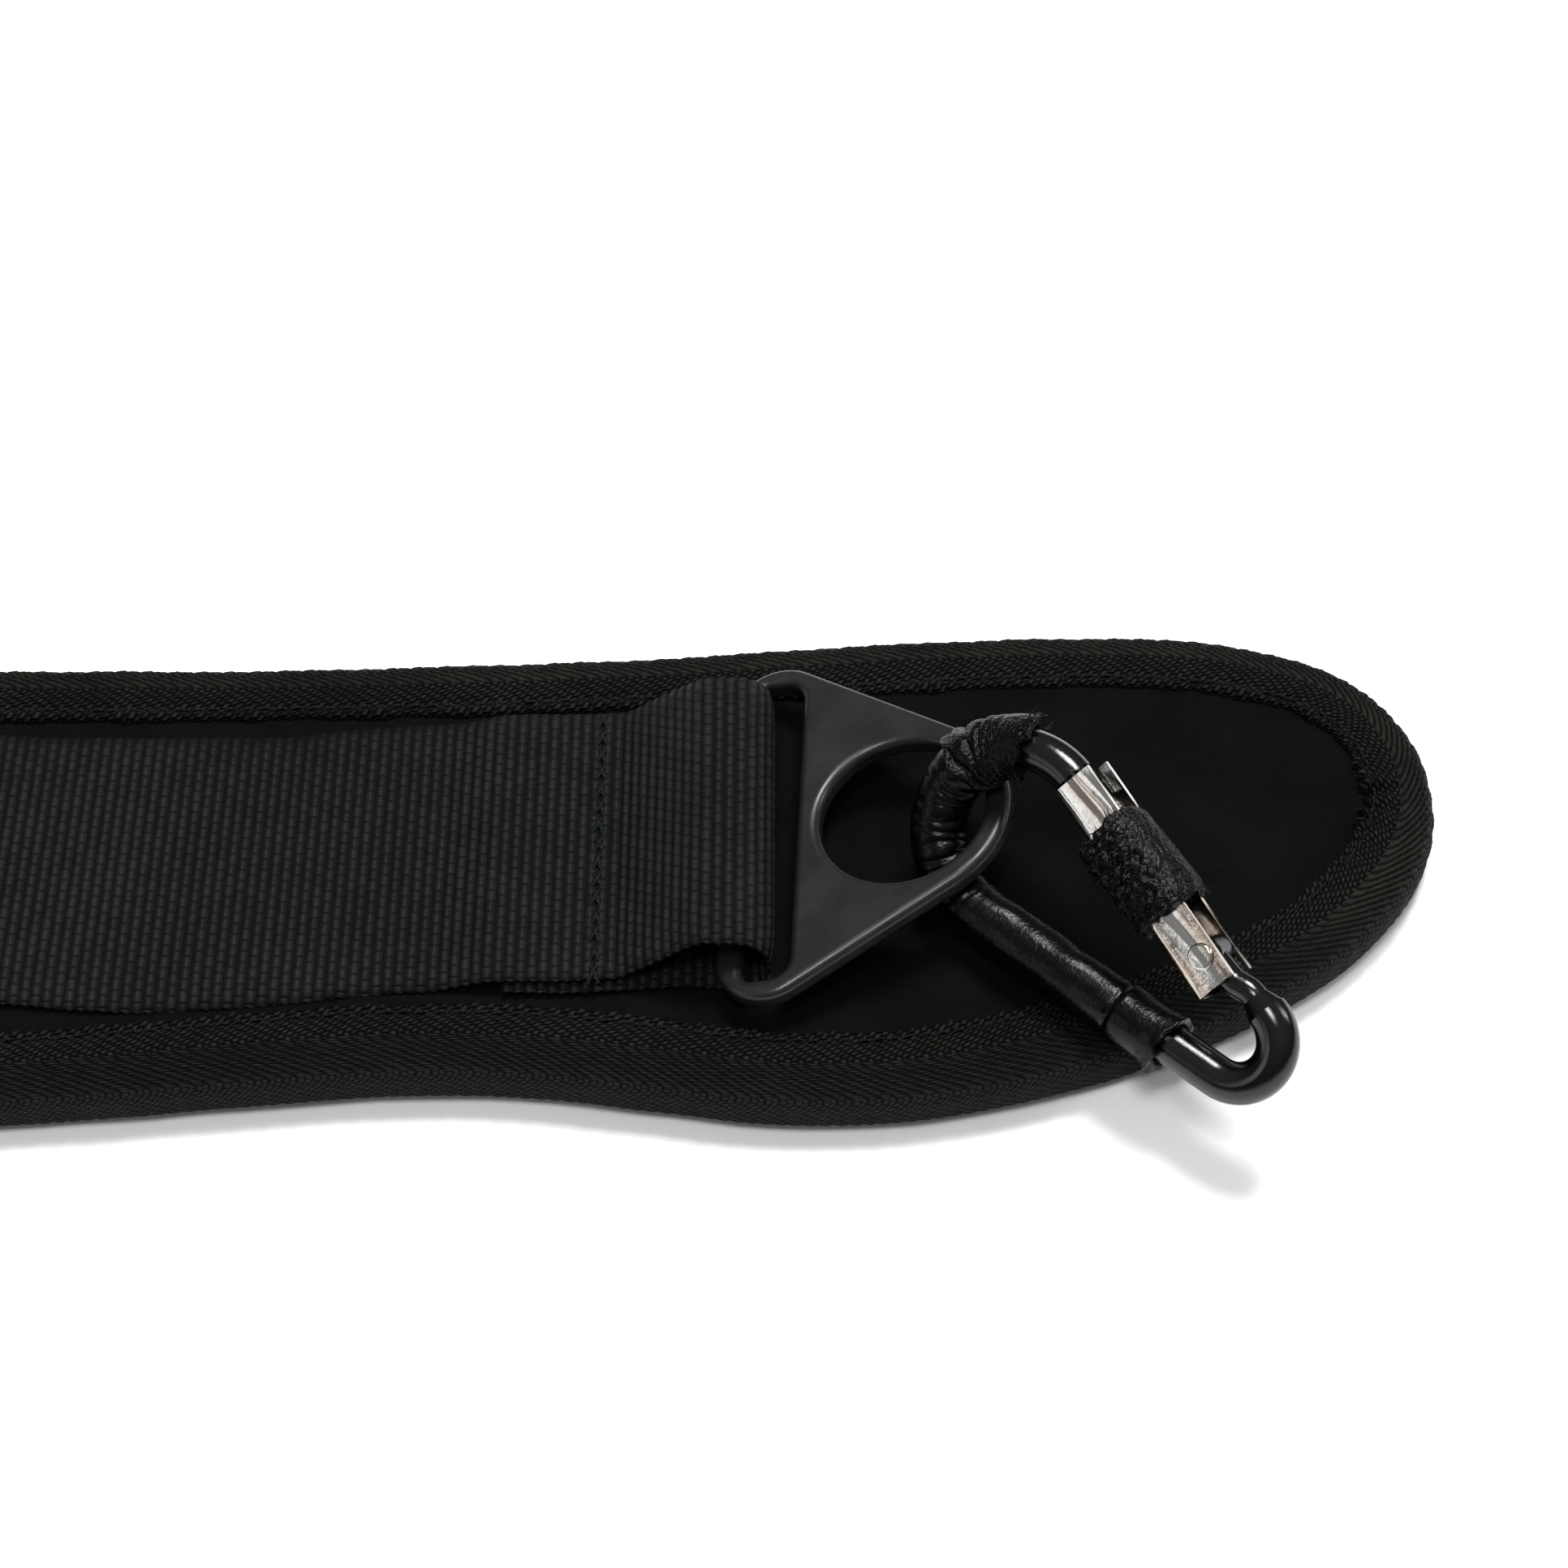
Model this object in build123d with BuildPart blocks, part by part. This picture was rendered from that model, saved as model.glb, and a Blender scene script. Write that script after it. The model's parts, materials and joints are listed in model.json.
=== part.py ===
from build123d import *
import os
from math import acos, atan2, cos, degrees, hypot, radians, sin

# Neck strap for a saxophone: a padded strap with sewn webbing, triangular rings, a slider and a snap hook.
# Units are millimetres. +X runs along the strap towards the hook, +Y across it and +Z up.
# The origin is the middle of the pad's underside, on the surface that the strap lies on.

os.makedirs("parts", exist_ok=True)

# ---------------------------------------------------------------- driving dimensions
# Pad
pad_half_length = 260.0
pad_thickness = 10.6
tip_offset = 12.0            # how far the rounded tip stands off the centre line
lining_thickness = 1.0
cover_thickness = 1.0
lining_inset = 2.4           # the lining and the cover stop short of the rounded edge
outline_stations = 48

# Tape bound round the pad's edge
binding_cloth = 1.2
binding_width = 10.8
binding_edge_radius = 4.2
seam_inset = 9.6
seam_width = 0.6
seam_depth = 0.35

# Webbing
webbing_width = 50.0
webbing_thickness = 1.5
webbing_centre_y = 2.4
webbing_room = 2.5           # on each side of the webbing, before the binding
pad_half_width = webbing_width / 2 + webbing_room + binding_width
layer_gap = 0.15             # between two layers of webbing that lie on each other
soft_gap = 0.3               # between cloth and a piece that moves

# Rows of stitches across the webbing
stitch_row_from_tip = 123.5
stitch_row_x = pad_half_length - stitch_row_from_tip
stitch_count = 14
stitch_length = 3.6
stitch_thread = 0.5
stitch_slant = 25.0
hem_stitch_length = 2.8
hem_stitch_edge = 2.5        # from the hem's fold to its stitches

# Triangular rings
ring_thickness = 3.7
ring_bar_width = 4.1
ring_slot_width = 6.9
ring_slot_side_gap = 1.3     # at each edge of the webbing
ring_slot_length = webbing_width + 2 * ring_slot_side_gap
ring_slot_bar_corner = 1.6
ring_slot_eye_corner = 3.3
ring_corner_radius = 7.5
ring_end_wall = 3.2
ring_eye_radius = 12.3
ring_eye_rim = 3.7
ring_eye_distance = 24.65    # from the middle of the slot bar to the middle of the eye
ring_edge_radius = 1.3

# How the ring at the hook's end lies
hook_ring_from_tip = 102.95
hook_ring_x = pad_half_length - hook_ring_from_tip
hook_ring_y = 2.8
hook_ring_tilt = 16.2
hook_ring_yaw = -2.7

# Loop of webbing round that ring
hook_loop_front = hook_ring_x + 5.15
hook_loop_height = 10.0      # between the middles of its two layers
hook_loop_top_run = 9.5
hook_loop_slope_run = 12.0
hook_loop_bend = 4.9         # at the top of the loop
hook_loop_low_bend = 3.0
slope_bend = 4.0
sewn_overlap = 13.0          # of the two layers, before the row of stitches
layer_step_start = 2.0       # where the upper layer starts to come down past the lower one's end
layer_step_end = 9.0
layer_step_bend = 8.0

# Webbing's free tail past the pad's other end
tail_rise_start = 64.0       # before the pad's tip, where the slanted binding comes under the webbing
tail_rise_end = 56.0
tail_rise_bend = 10.0
tail_drop_run = 34.0
tail_drop_bend = 20.0
tail_floor_bend = 40.0
tail_beyond_pad = 144.0      # to where the webbing steps down to the table
slider_zone_end = -pad_half_length - tail_beyond_pad
table_step = 10.0            # run of the webbing's step down to the table
loop_step = 14.0             # run of the returning layer's step
table_step_bend = 10.0
far_ring_beyond_step = 26.0
far_ring_x = slider_zone_end - far_ring_beyond_step
tail_return_length = 93.0    # of the returning layer, from that step to its hem
tail_end_x = slider_zone_end + tail_return_length
hem_length = 12.0

# Slider on the tail
slider_from_hem = 27.5
slider_x = tail_end_x - slider_from_hem
slider_length = 30.0
slider_bar = 5.0
slider_rail = 3.0
slider_low_bar_thickness = 1.8
slider_high_bar_thickness = 2.0
slider_side_gap = 0.8
slider_edge_radius = 0.7

# Snap hook, in its own plane: the big bend is at the origin and the small bend is on the +X side
wire_diameter = 6.0
big_bend_radius = 12.5       # to the middle of the wire
small_bend_radius = 6.1
bend_distance = 42.8
neck_diameter = 4.0
nose_diameter = 4.0
nose_length = 4.5
neck_taper = 2.5
neck_straight = 1.2
neck_jog = 1.0
neck_jog_run = 2.4
neck_bend = 3.0
pivot_from_jog = 5.0
hook_from_ring = 39.2
hook_side = -5.62
hook_lift = 12.0             # of the wire's underside over the pad
hook_position = (hook_ring_x + hook_from_ring, hook_side, pad_thickness + hook_lift + wire_diameter / 2)
hook_yaw = -46.7
hook_pitch = 6.6
hook_tilt = 50.6

# Gate of folded sheet
gate_sheet = 0.7
gate_height = 6.6
gate_web_reach = 3.87        # from the rivet's axis to the inner face of the folded back
gate_rim_reach = 2.4
gate_heel = 4.5
gate_fold_radius = 1.8
gate_end_gap = 0.6
nose_gap = 0.12
rivet_diameter = 2.0
rivet_head_diameter = 3.8
rivet_head_height = 0.5
rivet_running_gap = 0.05
tongue_radius = 2.3
tongue_top = 1.1
tongue_bottom = -2.4
spring_wire = 0.5
spring_radius = 1.55
spring_height = 0.7

# Leather sleeves
sleeve_gap = 0.05
back_sleeve_wall = 0.9
bend_sleeve_wall = 1.3
gate_sleeve_radius = 5.7
gate_sleeve_start = 8.0
gate_sleeve_length = 14.0
back_sleeve_end = 34.0       # along the hook from the big bend
sleeve_joint_angle = 168.0   # round the big bend, where the two sleeves meet
bend_sleeve_angle = 118.0

# ---------------------------------------------------------------- levels shared by several pieces
pad_face = pad_thickness - binding_cloth
lining_top = binding_cloth + lining_thickness
foam_top = pad_face - cover_thickness
half_webbing = webbing_thickness / 2
flat_level = pad_face + half_webbing
double_level = flat_level + webbing_thickness + layer_gap
over_binding_level = pad_thickness + seam_depth / 2 + half_webbing

# A ring's bar turns inside this radius.
bar_swing = hypot(ring_bar_width / 2 - ring_edge_radius, ring_thickness / 2 - ring_edge_radius) + ring_edge_radius


# ---------------------------------------------------------------- pad
def pad_outline(inset):
    """The pad seen from above, drawn in by inset all round: straight, waisted, then swelling to a slanted tip."""
    tip = pad_half_length
    side = pad_half_width
    end = [
        (tip - 190, -side),
        (tip - 132, -side + 3.2),
        (tip - 90, -side - 1.4),
        (tip - 46, -side + 7.8),
        (tip - 15, -side + 24.8),
        (tip, tip_offset),
        (tip - 9, side - 3.0),
        (tip - 27, side + 4.6),
        (tip - 60, side + 6.4),
        (tip - 112, side + 2.8),
        (tip - 190, side),
    ]
    other_end = [(-x, y) for x, y in reversed(end)]
    with BuildLine() as cut_edge:
        Spline((0, -side), *end, (0, side), *other_end, periodic=True)
    edge = cut_edge.line
    stations = [index / outline_stations for index in range(outline_stations)]
    inner_edge = [edge @ place + (edge % place).rotate(Axis.Z, 90) * inset for place in stations]
    with BuildSketch() as outline:
        with BuildLine():
            Spline(*inner_edge, periodic=True)
        make_face()
    return outline.sketch


def slab(inset, low, high):
    """A slice of the pad's shape between two levels."""
    with BuildPart() as layer:
        with BuildSketch(Plane.XY.offset(low)):
            add(pad_outline(inset))
        extrude(amount=high - low)
    return layer.part


def seam_band(low):
    """A thread line along the inner edge of the binding."""
    with BuildPart() as band:
        with BuildSketch(Plane.XY.offset(low)):
            add(pad_outline(seam_inset))
            add(pad_outline(seam_inset + seam_width), mode=Mode.SUBTRACT)
        extrude(amount=seam_depth)
    return band.part


top_seam_level = pad_thickness - seam_depth / 2
bottom_seam_level = seam_depth / 2

with BuildPart() as pad_bottom_lining:
    add(slab(lining_inset, binding_cloth, lining_top))

with BuildPart() as pad_foam:
    add(slab(binding_cloth, lining_top, foam_top))

with BuildPart() as pad_top_cover:
    add(slab(lining_inset, foam_top, pad_face))

with BuildPart() as binding_seam_top:
    add(seam_band(top_seam_level))

with BuildPart() as binding_seam_bottom:
    add(seam_band(bottom_seam_level))

with BuildPart() as edge_binding:
    add(slab(0, 0, pad_thickness))
    fillet(edge_binding.faces().filter_by(Axis.Z).edges(), binding_edge_radius)
    for wrapped in (pad_foam, pad_top_cover, pad_bottom_lining, binding_seam_top, binding_seam_bottom):
        add(wrapped.part, mode=Mode.SUBTRACT)
    add(slab(binding_width, 0, pad_thickness), mode=Mode.SUBTRACT)

# ---------------------------------------------------------------- webbing
slider_low_bar_top = soft_gap / 3 + slider_low_bar_thickness
slider_level = slider_low_bar_top + soft_gap + half_webbing
tail_top_level = slider_level + webbing_thickness + layer_gap
table_level = half_webbing + layer_gap / 3
far_bar_level = table_level + half_webbing + soft_gap + bar_swing
far_loop_top = far_bar_level + bar_swing + soft_gap + half_webbing
far_loop_front = far_ring_x - bar_swing - soft_gap - half_webbing
far_loop_bend = (far_loop_top - table_level) / 2 - layer_gap / 3
sewn_end_x = stitch_row_x - sewn_overlap
loop_front_x = hook_loop_front - half_webbing
loop_top_level = flat_level + hook_loop_height
slope_foot_x = loop_front_x - hook_loop_top_run - hook_loop_slope_run
tail_leaves_x = -pad_half_length - 2.0

with BuildPart() as webbing:
    with BuildLine(Plane.XZ.offset(-webbing_centre_y)) as webbing_route:
        FilletPolyline(
            (sewn_end_x, flat_level),
            (loop_front_x, flat_level),
            (loop_front_x, loop_top_level),
            (loop_front_x - hook_loop_top_run, loop_top_level),
            (slope_foot_x, double_level),
            (sewn_end_x - layer_step_start, double_level),
            (sewn_end_x - layer_step_end, flat_level),
            (tail_leaves_x + tail_rise_start, flat_level),
            (tail_leaves_x + tail_rise_end, over_binding_level),
            (tail_leaves_x, over_binding_level),
            (tail_leaves_x - tail_drop_run, slider_level),
            (slider_zone_end, slider_level),
            (slider_zone_end - table_step, table_level),
            (far_loop_front, table_level),
            (far_loop_front, far_loop_top),
            (slider_zone_end - loop_step, far_loop_top),
            (slider_zone_end, tail_top_level),
            (tail_end_x, tail_top_level),
            radius=[hook_loop_low_bend, hook_loop_bend, *[slope_bend] * 2, *[layer_step_bend] * 2, *[tail_rise_bend] * 2,
                    tail_drop_bend, tail_floor_bend, *[table_step_bend] * 2, *[far_loop_bend] * 2,
                    *[table_step_bend] * 2],
        )
    with BuildSketch(Plane(origin=webbing_route.line @ 0, x_dir=(0, 1, 0), z_dir=webbing_route.line % 0)):
        Rectangle(webbing_width, webbing_thickness)
    sweep()
    with BuildSketch(Plane.XY.offset(tail_top_level + half_webbing)):
        with Locations((tail_end_x - hem_length / 2, webbing_centre_y)):
            Rectangle(hem_length, webbing_width)
    extrude(amount=webbing_thickness)


def stitch_row(row_x, level, count, length, slant):
    """Short threads side by side across the webbing, lying on its top face."""
    pitch = (webbing_width - 2 * stitch_thread) / count
    with BuildPart() as row:
        with BuildSketch(Plane.XY.offset(level)):
            with Locations((row_x, webbing_centre_y)):
                with GridLocations(0, pitch, 1, count):
                    SlotOverall(length, stitch_thread, rotation=slant)
        extrude(amount=stitch_thread)
    return row.part


with BuildPart() as hook_end_stitches:
    add(stitch_row(stitch_row_x, double_level + half_webbing, stitch_count, stitch_length, stitch_slant))

with BuildPart() as far_end_stitches:
    add(stitch_row(-stitch_row_x, flat_level + half_webbing, stitch_count, stitch_length, stitch_slant))

with BuildPart() as tail_hem_stitches:
    hem_top = tail_top_level + half_webbing + webbing_thickness
    add(stitch_row(tail_end_x - hem_length + hem_stitch_edge, hem_top, stitch_count, hem_stitch_length, 90))


# ---------------------------------------------------------------- rings
def triangular_ring(bar_plane):
    """Flat ring drawn on a plane whose origin is the middle of the slot bar and whose X points to the eye."""
    corner_x = ring_corner_radius - ring_bar_width / 2
    corner_y = ring_slot_length / 2 + ring_end_wall - ring_corner_radius
    with BuildSketch() as slot_outline:
        with Locations((ring_bar_width / 2 + ring_slot_width / 2, 0)):
            Rectangle(ring_slot_width, ring_slot_length)
        fillet(slot_outline.vertices().group_by(Axis.X)[0], ring_slot_bar_corner)
        fillet(slot_outline.vertices().group_by(Axis.X)[-1], ring_slot_eye_corner)
    slot = slot_outline.sketch
    with BuildPart() as ring:
        with BuildSketch(bar_plane):
            with Locations((corner_x, corner_y), (corner_x, -corner_y)):
                Circle(ring_corner_radius)
            with Locations((ring_eye_distance, 0)):
                Circle(ring_eye_radius + ring_eye_rim)
            make_hull()
            add(slot, mode=Mode.SUBTRACT)
            with Locations((ring_eye_distance, 0)):
                Circle(ring_eye_radius, mode=Mode.SUBTRACT)
        extrude(amount=ring_thickness / 2, both=True)
        fillet(ring.edges(), ring_edge_radius)
    return ring


hook_ring_level = pad_face + webbing_thickness + soft_gap + bar_swing
hook_ring_place = Location((hook_ring_x, hook_ring_y, hook_ring_level))
hook_ring_plane = Plane(hook_ring_place * Rotation(0, 0, hook_ring_yaw) * Rotation(0, -hook_ring_tilt, 0))
hook_end_ring = triangular_ring(hook_ring_plane)

# The far ring points away from the pad, and its tip rests on the table.
ring_reach = ring_eye_distance + ring_eye_radius + ring_eye_rim
far_ring_droop = degrees(atan2(far_bar_level - ring_thickness / 2, ring_reach))
far_ring_place = Location((far_ring_x, webbing_centre_y, far_bar_level))
far_ring_plane = Plane(far_ring_place * Rotation(0, 0, 180) * Rotation(0, far_ring_droop, 0))
far_end_ring = triangular_ring(far_ring_plane)

# ---------------------------------------------------------------- slider
slider_width = webbing_width + 2 * (slider_side_gap + slider_rail)
slider_floor = soft_gap / 3
slider_high_bar_level = tail_top_level + half_webbing + soft_gap
slider_top = slider_high_bar_level + slider_high_bar_thickness

with BuildPart() as strap_slider:
    with BuildSketch(Plane.XY.offset(slider_floor)):
        with Locations((slider_x, webbing_centre_y)):
            with GridLocations(0, slider_width - slider_rail, 1, 2):
                Rectangle(slider_length, slider_rail)
    extrude(amount=slider_top - slider_floor)
    with BuildSketch(Plane.XY.offset(slider_floor)):
        with Locations((slider_x, webbing_centre_y)):
            Rectangle(slider_bar, slider_width - slider_rail)
    extrude(amount=slider_low_bar_thickness)
    with BuildSketch(Plane.XY.offset(slider_high_bar_level)):
        with Locations((slider_x, webbing_centre_y)):
            with GridLocations(slider_length - slider_bar, 0, 2, 1):
                Rectangle(slider_bar, slider_width - slider_rail)
    extrude(amount=slider_high_bar_thickness)
    fillet(strap_slider.edges().filter_by(Axis.Y), slider_edge_radius)

# ---------------------------------------------------------------- snap hook
hook_place = Location(hook_position) * Rotation(0, 0, hook_yaw) * Rotation(0, hook_pitch, 0)
hook_plane = Plane(hook_place * Rotation(hook_tilt, 0, 0))
wire_radius = wire_diameter / 2

# Both bends end where the straight sides touch them, at this angle either side of the hook's axis.
tangent_angle = degrees(acos((big_bend_radius - small_bend_radius) / bend_distance))
side_slope = tangent_angle - 90


def on_bend(centre_x, radius, angle):
    """A point of a bend's centre line, in the hook's plane."""
    return centre_x + radius * cos(radians(angle)), radius * sin(radians(angle))


def shifted(point, angle, distance):
    """The point that lies some way from another along an angle, in the same plane."""
    return point[0] + distance * cos(radians(angle)), point[1] + distance * sin(radians(angle))


big_top = on_bend(0, big_bend_radius, tangent_angle)
big_bottom = on_bend(0, big_bend_radius, -tangent_angle)
small_top = on_bend(bend_distance, small_bend_radius, tangent_angle)
small_bottom = on_bend(bend_distance, small_bend_radius, -tangent_angle)
gate_side = 180 + side_slope             # direction from the small bend towards the big one
inwards = gate_side + 90                 # direction from the gate's side into the hook
taper_end = shifted(small_top, gate_side, neck_taper)
jog_start = shifted(taper_end, gate_side, neck_straight)
jog_end = shifted(shifted(jog_start, gate_side, neck_jog_run), inwards, neck_jog)
pivot = shifted(jog_end, gate_side, pivot_from_jog)


def across(point, angle):
    """A plane across the wire at a point of the hook's plane, facing along angle."""
    origin = hook_plane.from_local_coords(point)
    ahead = hook_plane.from_local_coords(shifted(point, angle, 1))
    return Plane(origin=origin, x_dir=hook_plane.z_dir, z_dir=ahead - origin)


with BuildPart() as hook_body:
    with BuildLine(hook_plane) as wire_route:
        CenterArc((0, 0), big_bend_radius, tangent_angle, 360 - 2 * tangent_angle)
        Line(big_bottom, small_bottom)
        CenterArc((bend_distance, 0), small_bend_radius, -tangent_angle, 2 * tangent_angle)
    with BuildSketch(across(big_top, tangent_angle + 90)):
        Circle(wire_radius)
    sweep(path=wire_route.wires()[0])
    with BuildSketch(across(big_top, side_slope)):
        Circle(nose_diameter / 2)
    extrude(amount=nose_length)
    with BuildSketch(across(small_top, gate_side)):
        Circle(wire_radius)
    with BuildSketch(across(taper_end, gate_side)):
        Circle(neck_diameter / 2)
    loft()
    with BuildLine(hook_plane) as neck_route:
        FilletPolyline(taper_end, jog_start, jog_end, pivot, radius=neck_bend)
    with BuildSketch(across(taper_end, gate_side)):
        Circle(neck_diameter / 2)
    sweep(path=neck_route.wires()[0])
    with BuildSketch(hook_plane.offset(tongue_top)):
        with Locations(pivot):
            Circle(spring_radius + spring_wire)
    extrude(amount=neck_diameter, mode=Mode.SUBTRACT)
    with BuildSketch(hook_plane.offset(tongue_bottom)):
        with Locations(pivot):
            Circle(tongue_radius)
    extrude(amount=tongue_top - tongue_bottom)
    with BuildSketch(hook_plane):
        with Locations(pivot):
            Circle(rivet_diameter / 2)
    extrude(amount=neck_diameter, both=True, mode=Mode.SUBTRACT)

# ---------------------------------------------------------------- gate, its rivet and spring
nose_rest = shifted(big_top, inwards, nose_diameter / 2 + nose_gap)
web_at_pivot = shifted(pivot, inwards, gate_web_reach)
gate_angle = degrees(atan2(nose_rest[1] - web_at_pivot[1], nose_rest[0] - web_at_pivot[0]))
gate_plane = Plane(hook_plane.location * Location((*pivot, 0), (0, 0, gate_angle)))
shoulder_reach = hypot(big_top[0] - pivot[0], big_top[1] - pivot[1])
gate_tip = shoulder_reach - gate_end_gap
gate_middle = (gate_web_reach + gate_sheet - gate_rim_reach) / 2
gate_depth = gate_web_reach + gate_sheet + gate_rim_reach


def gate_section(distance):
    """A plane across the gate: its X points from the gate's mouth to its folded back."""
    origin = gate_plane.from_local_coords((distance, 0, 0))
    return Plane(origin=origin, x_dir=gate_plane.y_dir, z_dir=gate_plane.x_dir)


with BuildPart() as hook_gate:
    with BuildSketch(gate_section(-gate_heel)) as gate_profile:
        with Locations((gate_middle, 0)):
            Rectangle(gate_depth, gate_height)
        fillet(gate_profile.vertices().group_by(Axis.X)[-1], gate_fold_radius)
        with Locations((gate_web_reach - gate_depth / 2, 0)):
            Rectangle(gate_depth, gate_height - 2 * gate_sheet, mode=Mode.SUBTRACT)
    extrude(amount=gate_heel + gate_tip)
    with BuildSketch(gate_plane):
        Circle(rivet_diameter / 2 + rivet_running_gap)
    extrude(amount=gate_height, both=True, mode=Mode.SUBTRACT)

rivet_axis = Axis(gate_plane.origin, gate_plane.z_dir)
with BuildPart() as gate_rivet:
    head_level = gate_height / 2 + rivet_running_gap
    with BuildSketch(gate_plane):
        Circle(rivet_diameter / 2)
    extrude(amount=head_level, both=True)
    for side in (1, -1):
        with BuildSketch(gate_plane.offset(side * head_level)):
            Circle(rivet_head_diameter / 2)
        extrude(amount=side * rivet_head_height)
    for end in (0, -1):
        fillet(gate_rivet.faces().sort_by(rivet_axis)[end].edges(), rivet_head_height * 0.8)

with BuildPart() as gate_spring:
    spring_plane = gate_plane.offset(tongue_top + spring_wire / 2 + rivet_running_gap)
    with BuildLine() as coil:
        Helix(spring_wire + rivet_running_gap, spring_height, spring_radius,
              center=spring_plane.origin, direction=spring_plane.z_dir)
    with BuildSketch(Plane(origin=coil.line @ 0, z_dir=coil.line % 0)):
        Circle(spring_wire / 2)
    sweep(path=coil.wires()[0])


# ---------------------------------------------------------------- leather sleeves
def sleeve_along(route, start_plane, wall):
    """A tube of leather along part of the wire."""
    inner = wire_radius + sleeve_gap
    with BuildPart() as sleeve:
        with BuildSketch(start_plane):
            Circle(inner + wall)
            Circle(inner, mode=Mode.SUBTRACT)
        sweep(path=route)
    return sleeve.part


back_sleeve_length = back_sleeve_end / sin(radians(tangent_angle))
with BuildLine(hook_plane) as back_sleeve_route:
    CenterArc((0, 0), big_bend_radius, sleeve_joint_angle, 360 - tangent_angle - sleeve_joint_angle)
    Line(big_bottom, shifted(big_bottom, -side_slope, back_sleeve_length))

with BuildPart() as back_bar_sleeve:
    sleeve_start = across(on_bend(0, big_bend_radius, sleeve_joint_angle), sleeve_joint_angle + 90)
    add(sleeve_along(back_sleeve_route.wires()[0], sleeve_start, back_sleeve_wall))

with BuildLine(hook_plane) as bend_sleeve_route:
    CenterArc((0, 0), big_bend_radius, bend_sleeve_angle, sleeve_joint_angle - bend_sleeve_angle)

with BuildPart() as bend_sleeve:
    bend_start = across(on_bend(0, big_bend_radius, bend_sleeve_angle), bend_sleeve_angle + 90)
    add(sleeve_along(bend_sleeve_route.wires()[0], bend_start, bend_sleeve_wall))

with BuildPart() as gate_sleeve:
    with BuildSketch(gate_section(gate_sleeve_start)) as sleeve_profile:
        with Locations((gate_middle, 0)):
            Circle(gate_sleeve_radius)
            Rectangle(gate_depth, gate_height, mode=Mode.SUBTRACT)
    extrude(amount=gate_sleeve_length)

# ---------------------------------------------------------------- labels and files
pieces = {
    "pad_foam": pad_foam,
    "pad_top_cover": pad_top_cover,
    "pad_bottom_lining": pad_bottom_lining,
    "edge_binding": edge_binding,
    "binding_seam_top": binding_seam_top,
    "binding_seam_bottom": binding_seam_bottom,
    "webbing": webbing,
    "hook_end_stitches": hook_end_stitches,
    "far_end_stitches": far_end_stitches,
    "tail_hem_stitches": tail_hem_stitches,
    "hook_end_ring": hook_end_ring,
    "far_end_ring": far_end_ring,
    "strap_slider": strap_slider,
    "hook_body": hook_body,
    "hook_gate": hook_gate,
    "gate_rivet": gate_rivet,
    "gate_spring": gate_spring,
    "back_bar_sleeve": back_bar_sleeve,
    "bend_sleeve": bend_sleeve,
    "gate_sleeve": gate_sleeve,
}
for name, piece in pieces.items():
    piece.part.label = name
    export_step(piece.part, f"parts/{name}.step")
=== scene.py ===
import json
import math

import bpy
import numpy as np
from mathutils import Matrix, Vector


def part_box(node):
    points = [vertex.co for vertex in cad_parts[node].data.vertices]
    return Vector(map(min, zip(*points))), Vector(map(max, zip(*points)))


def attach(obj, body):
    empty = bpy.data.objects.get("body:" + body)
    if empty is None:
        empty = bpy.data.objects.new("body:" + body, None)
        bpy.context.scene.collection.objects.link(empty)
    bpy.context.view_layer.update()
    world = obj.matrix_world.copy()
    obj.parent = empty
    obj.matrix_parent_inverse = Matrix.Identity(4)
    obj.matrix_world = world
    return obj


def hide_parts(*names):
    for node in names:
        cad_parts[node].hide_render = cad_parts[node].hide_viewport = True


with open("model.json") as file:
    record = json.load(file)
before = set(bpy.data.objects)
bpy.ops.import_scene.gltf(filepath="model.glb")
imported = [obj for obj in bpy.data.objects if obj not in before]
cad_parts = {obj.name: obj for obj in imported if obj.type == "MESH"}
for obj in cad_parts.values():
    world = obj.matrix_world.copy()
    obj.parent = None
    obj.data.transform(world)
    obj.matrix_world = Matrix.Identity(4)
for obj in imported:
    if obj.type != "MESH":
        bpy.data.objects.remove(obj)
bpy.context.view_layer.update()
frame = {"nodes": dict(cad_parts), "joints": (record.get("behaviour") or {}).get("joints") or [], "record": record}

# Every length below is in millimetres, except in the last section, where it is in metres.
MM = 0.001
nodes = frame["nodes"]
joints = {joint["name"]: joint for joint in frame["joints"]}
mounts = {mount["name"]: mount for mount in frame["record"]["mounts"]}


# ---------------------------------------------------------------- meshes
def unit(vector):
    return vector / np.linalg.norm(vector)


def unit_rows(vectors):
    return vectors / np.linalg.norm(vectors, axis=1)[:, None]


def piece_from(name, points, faces, body, replaced, material, uv=None):
    """A shown piece. uv holds one pair for each corner of each face."""
    mesh = bpy.data.meshes.new(name)
    mesh.from_pydata((np.asarray(points) * MM).tolist(), [], faces)
    if uv is not None:
        layer = mesh.uv_layers.new(name="weave")
        layer.data.foreach_set("uv", np.asarray(uv, np.float32).ravel())
    mesh.shade_smooth()
    mesh.materials.append(material)
    piece = bpy.data.objects.new(name, mesh)
    bpy.context.scene.collection.objects.link(piece)
    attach(piece, body)
    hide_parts(*replaced)
    return piece


def grid(points, closed_u=False, closed_v=False, u=None, v=None):
    """Points, faces and corner coordinates of a grid of rows and columns.

    u and v, where given, hold a value at each of the grid's corners.
    """
    rows, columns = points.shape[:2]
    row_steps = rows if closed_u else rows - 1
    column_steps = columns if closed_v else columns - 1
    i, j = np.meshgrid(np.arange(row_steps), np.arange(column_steps), indexing="ij")
    corners = [(i, j), (i + 1, j), (i + 1, j + 1), (i, j + 1)]
    faces = np.stack([(a % rows) * columns + b % columns for a, b in corners], -1).reshape(-1, 4)
    uv = None
    if u is not None:
        uv = np.stack([np.stack([u[a, b], v[a, b]], -1) for a, b in corners], 2).reshape(-1, 2)
    return points.reshape(-1, 3), faces.tolist(), uv


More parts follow.
